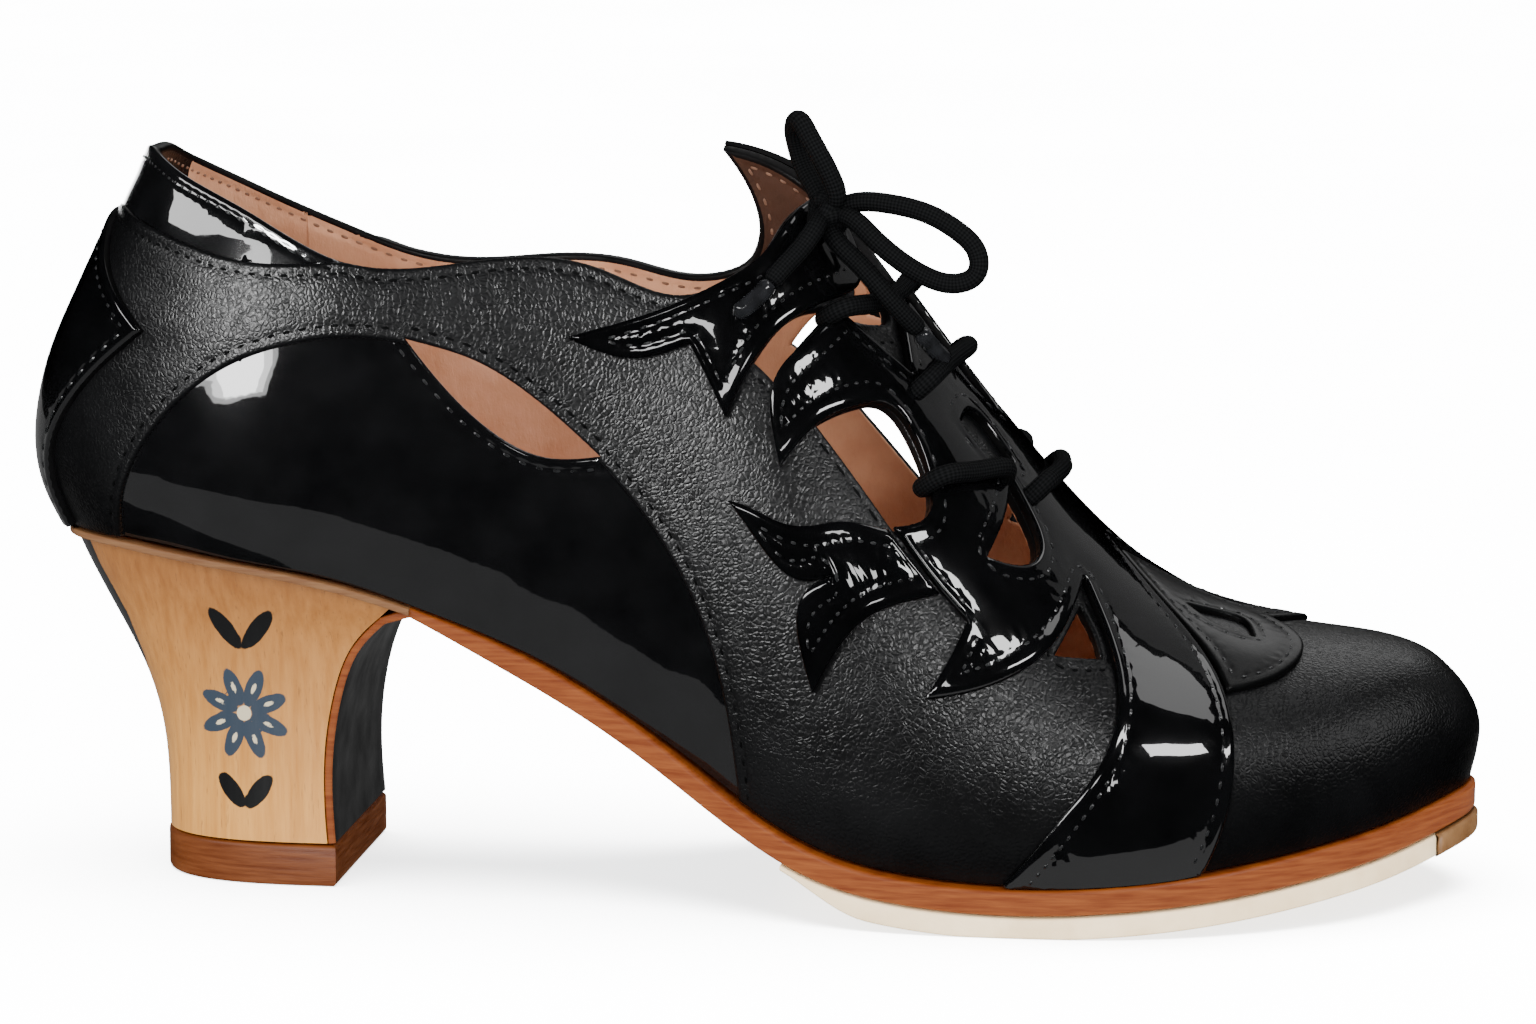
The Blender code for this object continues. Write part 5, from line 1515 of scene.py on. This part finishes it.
KNOT_WRAPS = ((0.35, -0.9), (-0.5, 1.0), (1.35, 0.1))
KNOT_WRAP = (2.4, 1.7)
KNOT_STEPS = 60
END_REAR = [
    (145.6, 0.80, 5.6), (144.6, 0.765, 4.6), (142.4, 0.717, 3.6), (139.8, 0.668, 3.2), (136.6, 0.628, 3.2),
]
END_FRONT = [
    (149.2, 0.815, 5.2), (151.0, 0.812, 5.9), (154.2, 0.806, 6.8), (157.9, 0.808, 6.6),
    (161.2, 0.818, 6.0), (164.0, 0.831, 5.0), (166.6, 0.843, 4.5),
]
LOOP_UPPER = [
    (96.4, -14.5, 116.7), (94.1, -12.7, 120.4), (92.9, -12.8, 124.3), (92.8, -14.6, 127.2),
    (93.8, -16.8, 128.3), (95.8, -18.6, 125.7), (97.9, -19.4, 122.2), (99.5, -19.1, 118.9),
    (100.1, -18.2, 116.1),
]
LOOP_FRONT = [
    (102.6, -16.8, 114.9), (108.6, -18.0, 115.0), (115.4, -19.0, 113.4), (120.3, -19.4, 110.6),
    (123.2, -19.6, 107.2), (123.0, -19.8, 103.9), (120.0, -20.0, 102.4), (115.6, -20.2, 103.2),
    (110.8, -20.6, 106.0), (106.2, -20.4, 109.8), (102.5, -18.4, 112.6),
]
AGLET_LENGTH = 8.6
AGLET_OUT = 0.92
AGLET_LAP = 1.5
TUBE_SIDE = (0.3, 0.2, 1.0)
TUBE_TIP = 0.02


def tube(name, route, radius, finish, ends=(True, True)):
    """A round cord along millimetre points, with rounded ends and its run and turn as texture places."""
    count = len(route)
    tangent = unit(np.gradient(route, axis=0))
    side = np.cross(tangent[0], TUBE_SIDE)
    sides = []
    for t in tangent:
        side = unit(side - np.dot(side, t) * t)
        sides.append(side)
    sides = np.array(sides)
    ups = np.cross(tangent, sides)
    run = chords(route)
    radii = np.full(count, float(radius))
    for rounded, distance in zip(ends, (run, run[-1] - run)):
        if rounded:
            share = 1 - (1 - distance / radius).clip(0)**2
            radii = np.minimum(radii, radius * np.sqrt(np.clip(share, TUBE_TIP, 1)))
    turn = np.linspace(0, 2 * math.pi, LACE_SIDES + 1)
    spread = np.cos(turn)[None, :, None] * sides[:, None] + np.sin(turn)[None, :, None] * ups[:, None]
    points = route[:, None] + radii[:, None, None] * spread
    uv = np.stack(np.broadcast_arrays(run[:, None], turn[None] / (2 * math.pi)), axis=2).reshape(-1, 2)
    size = LACE_SIDES + 1
    faces = [[i * size + k, i * size + k + 1, (i + 1) * size + k + 1, (i + 1) * size + k]
             for i in range(count - 1) for k in range(LACE_SIDES)]
    faces.append(list(range(LACE_SIDES))[::-1])
    faces.append([(count - 1) * size + k for k in range(LACE_SIDES)])
    return add_mesh(name, points.reshape(-1, 3), faces, [finish], uv=uv)


def on_side(places, side):
    """Points from (along, climb, level) places on one side."""
    along, climb, level = np.array(places, float).T
    return on_last(along, side * (1 - climb), level)


def diving(places):
    """A bar's places with its outer end turned down into the leather."""
    (a0, c0), (a1, c1) = places[0], places[1]
    first = (a0 + LACE_DIVE * (a0 - a1), c0 + LACE_DIVE * (c0 - c1), LACE_DIVE_LEVEL)
    return [first] + [(a, c, LACE_LEVEL) for a, c in places]


def join(pieces, name):
    """One object from several."""
    with bpy.context.temp_override(active_object=pieces[0], selected_editable_objects=pieces):
        bpy.ops.object.join()
    pieces[0].name = name
    return pieces[0]


def make_lace():
    """Crossings over the throat, the knot, and two cords with their aglets."""
    for side, name in SIDES:
        places = diving(LACE_BAR_LOW)
        (a0, c0, _), (a1, c1, _) = places[-2:]
        places.append((a1 + LACE_DIVE * (a1 - a0), c1 + LACE_DIVE * (c1 - c0), LACE_DIVE_LEVEL))
        route = smooth_run(on_side(places, side), LACE_STEP)
        bar = tube(f"lace_low_{name}", route, LACE / 2, LACE_FINISH)
        place(bar, "lace", f"lace_bar_low_{name}")
    for node, places in LACE_CROSSINGS.items():
        lateral = on_side(diving(places), -1)
        medial = on_side(diving(places)[:-1][::-1], 1)
        route = smooth_run(np.concatenate([lateral, medial]), LACE_STEP)
        bar = tube(node.replace("lace_bar", "lace_crossing"), route, LACE / 2, LACE_FINISH)
        place(bar, "lace", node)

    centre = on_side([(*KNOT_PLACE, KNOT_LEVEL)], -1)[0]
    up = on_side([(*KNOT_PLACE, KNOT_LEVEL + 1)], -1)[0] - centre
    along = on_side([(KNOT_PLACE[0] + 1, KNOT_PLACE[1], KNOT_LEVEL)], -1)[0] - centre
    along = unit(along - np.dot(along, up) * up)
    across = np.cross(up, along)
    turn = np.linspace(0, 2 * math.pi, KNOT_STEPS)[:-1, None]
    half, high = KNOT_WRAP
    wraps = []
    for i, (tilt, shift) in enumerate(KNOT_WRAPS):
        axis = math.cos(tilt) * along + math.sin(tilt) * across
        wide = math.cos(tilt) * across - math.sin(tilt) * along
        ring = centre + shift * axis + half * np.cos(turn) * wide + high * np.sin(turn) * up
        ring = loop_line(ring)
        wraps.append(tube(f"wrap_{i}", ring, LACE / 2, LACE_FINISH, ends=(False, False)))
    place(join(wraps, "lace_knot_wraps"), "lace", "lace_knot")

    for name, loop, end, nodes in (
            ("lace_cord_rear", LOOP_FRONT, END_REAR, ("lace_loop_front", "lace_end_rear")),
            ("lace_cord_front", LOOP_UPPER, END_FRONT, ("lace_loop_upper", "lace_end_front"))):
        route = np.concatenate([[centre], loop, [centre], on_side(end, -1)])
        route = smooth_run(route, LACE_STEP)
        run = chords(route)
        soft = route[run < run[-1] - AGLET_LENGTH + AGLET_LAP]
        hard = route[run > run[-1] - AGLET_LENGTH]
        cord = tube(name, soft, LACE / 2, LACE_FINISH)
        aglet = tube(name.replace("cord", "aglet"), hard, LACE / 2 * AGLET_OUT, AGLET)
        place(cord, "lace", *nodes)
        place(aglet, "lace")
        chords(soft)[-1] * MM


# Stage, light and camera
FLOOR_REACH = 8.0
FLOOR_CELLS = 16
FLOOR_GLOW = 3.0
FLOOR_CLOUD = 300.0
FLOOR_TONES = ((0.86, 0.86, 0.86), (0.9, 0.9, 0.9))


def make_stage():
    """Pale floor on all sides. Gloss doesn't mirror it."""
    shape = bmesh.new()
    bmesh.ops.create_grid(shape, x_segments=FLOOR_CELLS, y_segments=FLOOR_CELLS, size=FLOOR_REACH)
    mesh = bpy.data.meshes.new("floor")
    shape.to_mesh(mesh)
    shape.free()
    finish = Finish("pale_floor", specular_ior_level=0.1, emission_strength=FLOOR_GLOW)
    cloud = finish.noise(finish.places(), FLOOR_CLOUD)
    pale = finish.tone(cloud, *FLOOR_TONES)
    rough = finish.cloud_spread(cloud, 0.6, 0.7)
    mesh.materials.append(finish.set(base_color=pale, emission_color=pale, roughness=rough))
    floor = bpy.data.objects.new("floor", mesh)
    floor.visible_glossy = False
    floor.visible_diffuse = False
    floor.visible_shadow = False
    bpy.context.scene.collection.objects.link(floor)


VIEW_TARGET = (0.0867, 0.0, 0.0612)
VIEW_TURN = 7
VIEW_RISE = 9
VIEW_DISTANCE = 0.9
VIEW_LENS = 126.1
VIEW_SENSOR = 36.0
WORLD_COLOUR = (0.9, 0.95, 1.0, 1.0)
WORLD_STRENGTH = 2.2
FLOOR_SUN = 40
FLOOR_SUN_ANGLE = math.radians(64)
UNDER_SIZE = 5.0
UNDER_RADIANCE = 0.22
UNDER_HEIGHT = -0.12
UNDER_PIECES = ("counter_patent", "heel_maple", "outsole_leather")
UPPER_ONLY = ["upper_leather"]
FRONT_PIECES = ["heel_maple", "heel_top_piece", "toe_plate_bronze"]
LIGHT_DISTANCE = 1.2
GLINT_TARGET = (0.0185, -0.035, 0.085)
SHEEN_TARGET = (0.008, -0.033, 0.1)
VAMP_TARGET = (0.127, -0.042, 0.027)
STRAP_TARGET = (0.15, -0.035, 0.03)
MEDIAL_SHARE = 0.6
# Soft boxes: turn, rise, width and height in degrees, radiance, pieces they light, target and distance
SIDE_BOXES = [
    ("quarter_glint", -34, 8, 32, 14, 5, UPPER_ONLY, GLINT_TARGET, 0.22),
    ("quarter_glint", -32, 8, 25, 12, 8, UPPER_ONLY, GLINT_TARGET, 0.23),
    ("quarter_glint", -30, 8, 16, 11, 13, UPPER_ONLY, GLINT_TARGET, 0.24),
    ("floor_band", -20, -27, 100, 25, 0.26, UPPER_ONLY, VIEW_TARGET, LIGHT_DISTANCE),
]
BOXES = [
    ("quarter_sheen", -22, 19, 16, 8, 95, UPPER_ONLY, SHEEN_TARGET, 0.16),
    ("low_front", 10, 8, 60, 24, 7, FRONT_PIECES),
    ("sole_front", 10, 8, 60, 24, 17, ["half_sole_pale"]),
    ("high_left", -44, 27, 44, 7, 9),
    ("front", 4, 21, 8, 5, 9),
    ("vamp_sheen", 10, 29, 14, 8, 42, UPPER_ONLY, VAMP_TARGET, 0.18),
    ("right", 36, 42, 19, 8, 15, (), STRAP_TARGET, 0.35),
    ("overhead", 108, 67, 40, 16, 1.6),
    ("strap_band", 0, -54, 110, 44, 0.4, ["vamp_flames"]),
    ("toe_sheen", 165, 36, 40, 24, 1.4, UPPER_ONLY + ["ornament"]),
    ("toe_side", 80, 24, 40, 26, 2.4, UPPER_ONLY),
    ("behind", 160, 38, 80, 40, 0.2),
]


def aim(thing, target, turn, rise, distance):
    """Sets a lamp or camera at a turn and rise from its target, in degrees, facing it."""
    flat = math.cos(math.radians(rise))
    offset = Vector((math.sin(math.radians(turn)) * flat, -math.cos(math.radians(turn)) * flat,
                     math.sin(math.radians(rise))))
    thing.location = Vector(target) + distance * offset
    thing.rotation_euler = (-offset).to_track_quat("-Z", "Y").to_euler()


def add_lamp(name, data, lit=()):
    """A lamp in the scene. Where pieces are named, it lights those alone."""
    lamp = bpy.data.objects.new(name, data)
    if lit:
        lamp.light_linking.receiver_collection = bpy.data.collections.new(name)
        for piece in lit:
            lamp.light_linking.receiver_collection.objects.link(bpy.data.objects[piece])
    bpy.context.scene.collection.objects.link(lamp)
    return lamp


def softbox(name, turn, rise, wide, high, radiance, lit=(), target=VIEW_TARGET, distance=LIGHT_DISTANCE):
    """A rectangular light that spans so many degrees, as seen from its target."""
    data = bpy.data.lights.new(name, "AREA")
    data.shape = "RECTANGLE"
    data.size = 2 * distance * math.tan(math.radians(wide / 2))
    data.size_y = 2 * distance * math.tan(math.radians(high / 2))
    data.energy = radiance * math.pi * data.size * data.size_y
    aim(add_lamp(name, data, lit), target, turn, rise, distance)


def under_light():
    """A wide dim light below the floor, for the faint sheen that a floor gives low lacquer."""
    data = bpy.data.lights.new("under", "AREA")
    data.size = UNDER_SIZE
    data.energy = UNDER_RADIANCE * math.pi * data.size**2
    lamp = add_lamp("under", data, UNDER_PIECES)
    lamp.location = (VIEW_TARGET[0], VIEW_TARGET[1], UNDER_HEIGHT)
    lamp.rotation_euler = (math.pi, 0.0, 0.0)


def make_light():
    """Even pale surroundings, soft boxes for the reflections, and a sun for the floor alone."""
    world = bpy.data.worlds.new("studio")
    world.use_nodes = True
    world.node_tree.nodes["Background"].inputs["Color"].default_value = WORLD_COLOUR
    world.node_tree.nodes["Background"].inputs["Strength"].default_value = WORLD_STRENGTH
    bpy.context.scene.world = world
    world.cycles_visibility.glossy = False
    for name, turn, rise, wide, high, radiance, lit, (x, y, z), distance in SIDE_BOXES:
        softbox(name, turn, rise, wide, high, radiance, lit, (x, y, z), distance)
        softbox(name + "_medial", 180 - turn, rise, wide, high, MEDIAL_SHARE * radiance, lit, (x, -y, z),
                distance)
    for box in BOXES:
        softbox(*box)
    under_light()
    data = bpy.data.lights.new("floor_sun", "SUN")
    data.energy = FLOOR_SUN
    data.angle = FLOOR_SUN_ANGLE
    add_lamp("floor_sun", data, ["floor"])


def make_camera():
    """The camera that sees the outer side from a little above."""
    data = bpy.data.cameras.new("camera")
    data.lens = VIEW_LENS
    data.sensor_width = VIEW_SENSOR
    data.dof.use_dof = False
    camera = bpy.data.objects.new("camera", data)
    aim(camera, VIEW_TARGET, VIEW_TURN, VIEW_RISE, VIEW_DISTANCE)
    bpy.context.scene.collection.objects.link(camera)
    bpy.context.scene.camera = camera


make_upper()
make_overlays()
make_outsole()
make_sole_layers()
make_heel()
make_lace()
make_stage()
make_light()
make_camera()
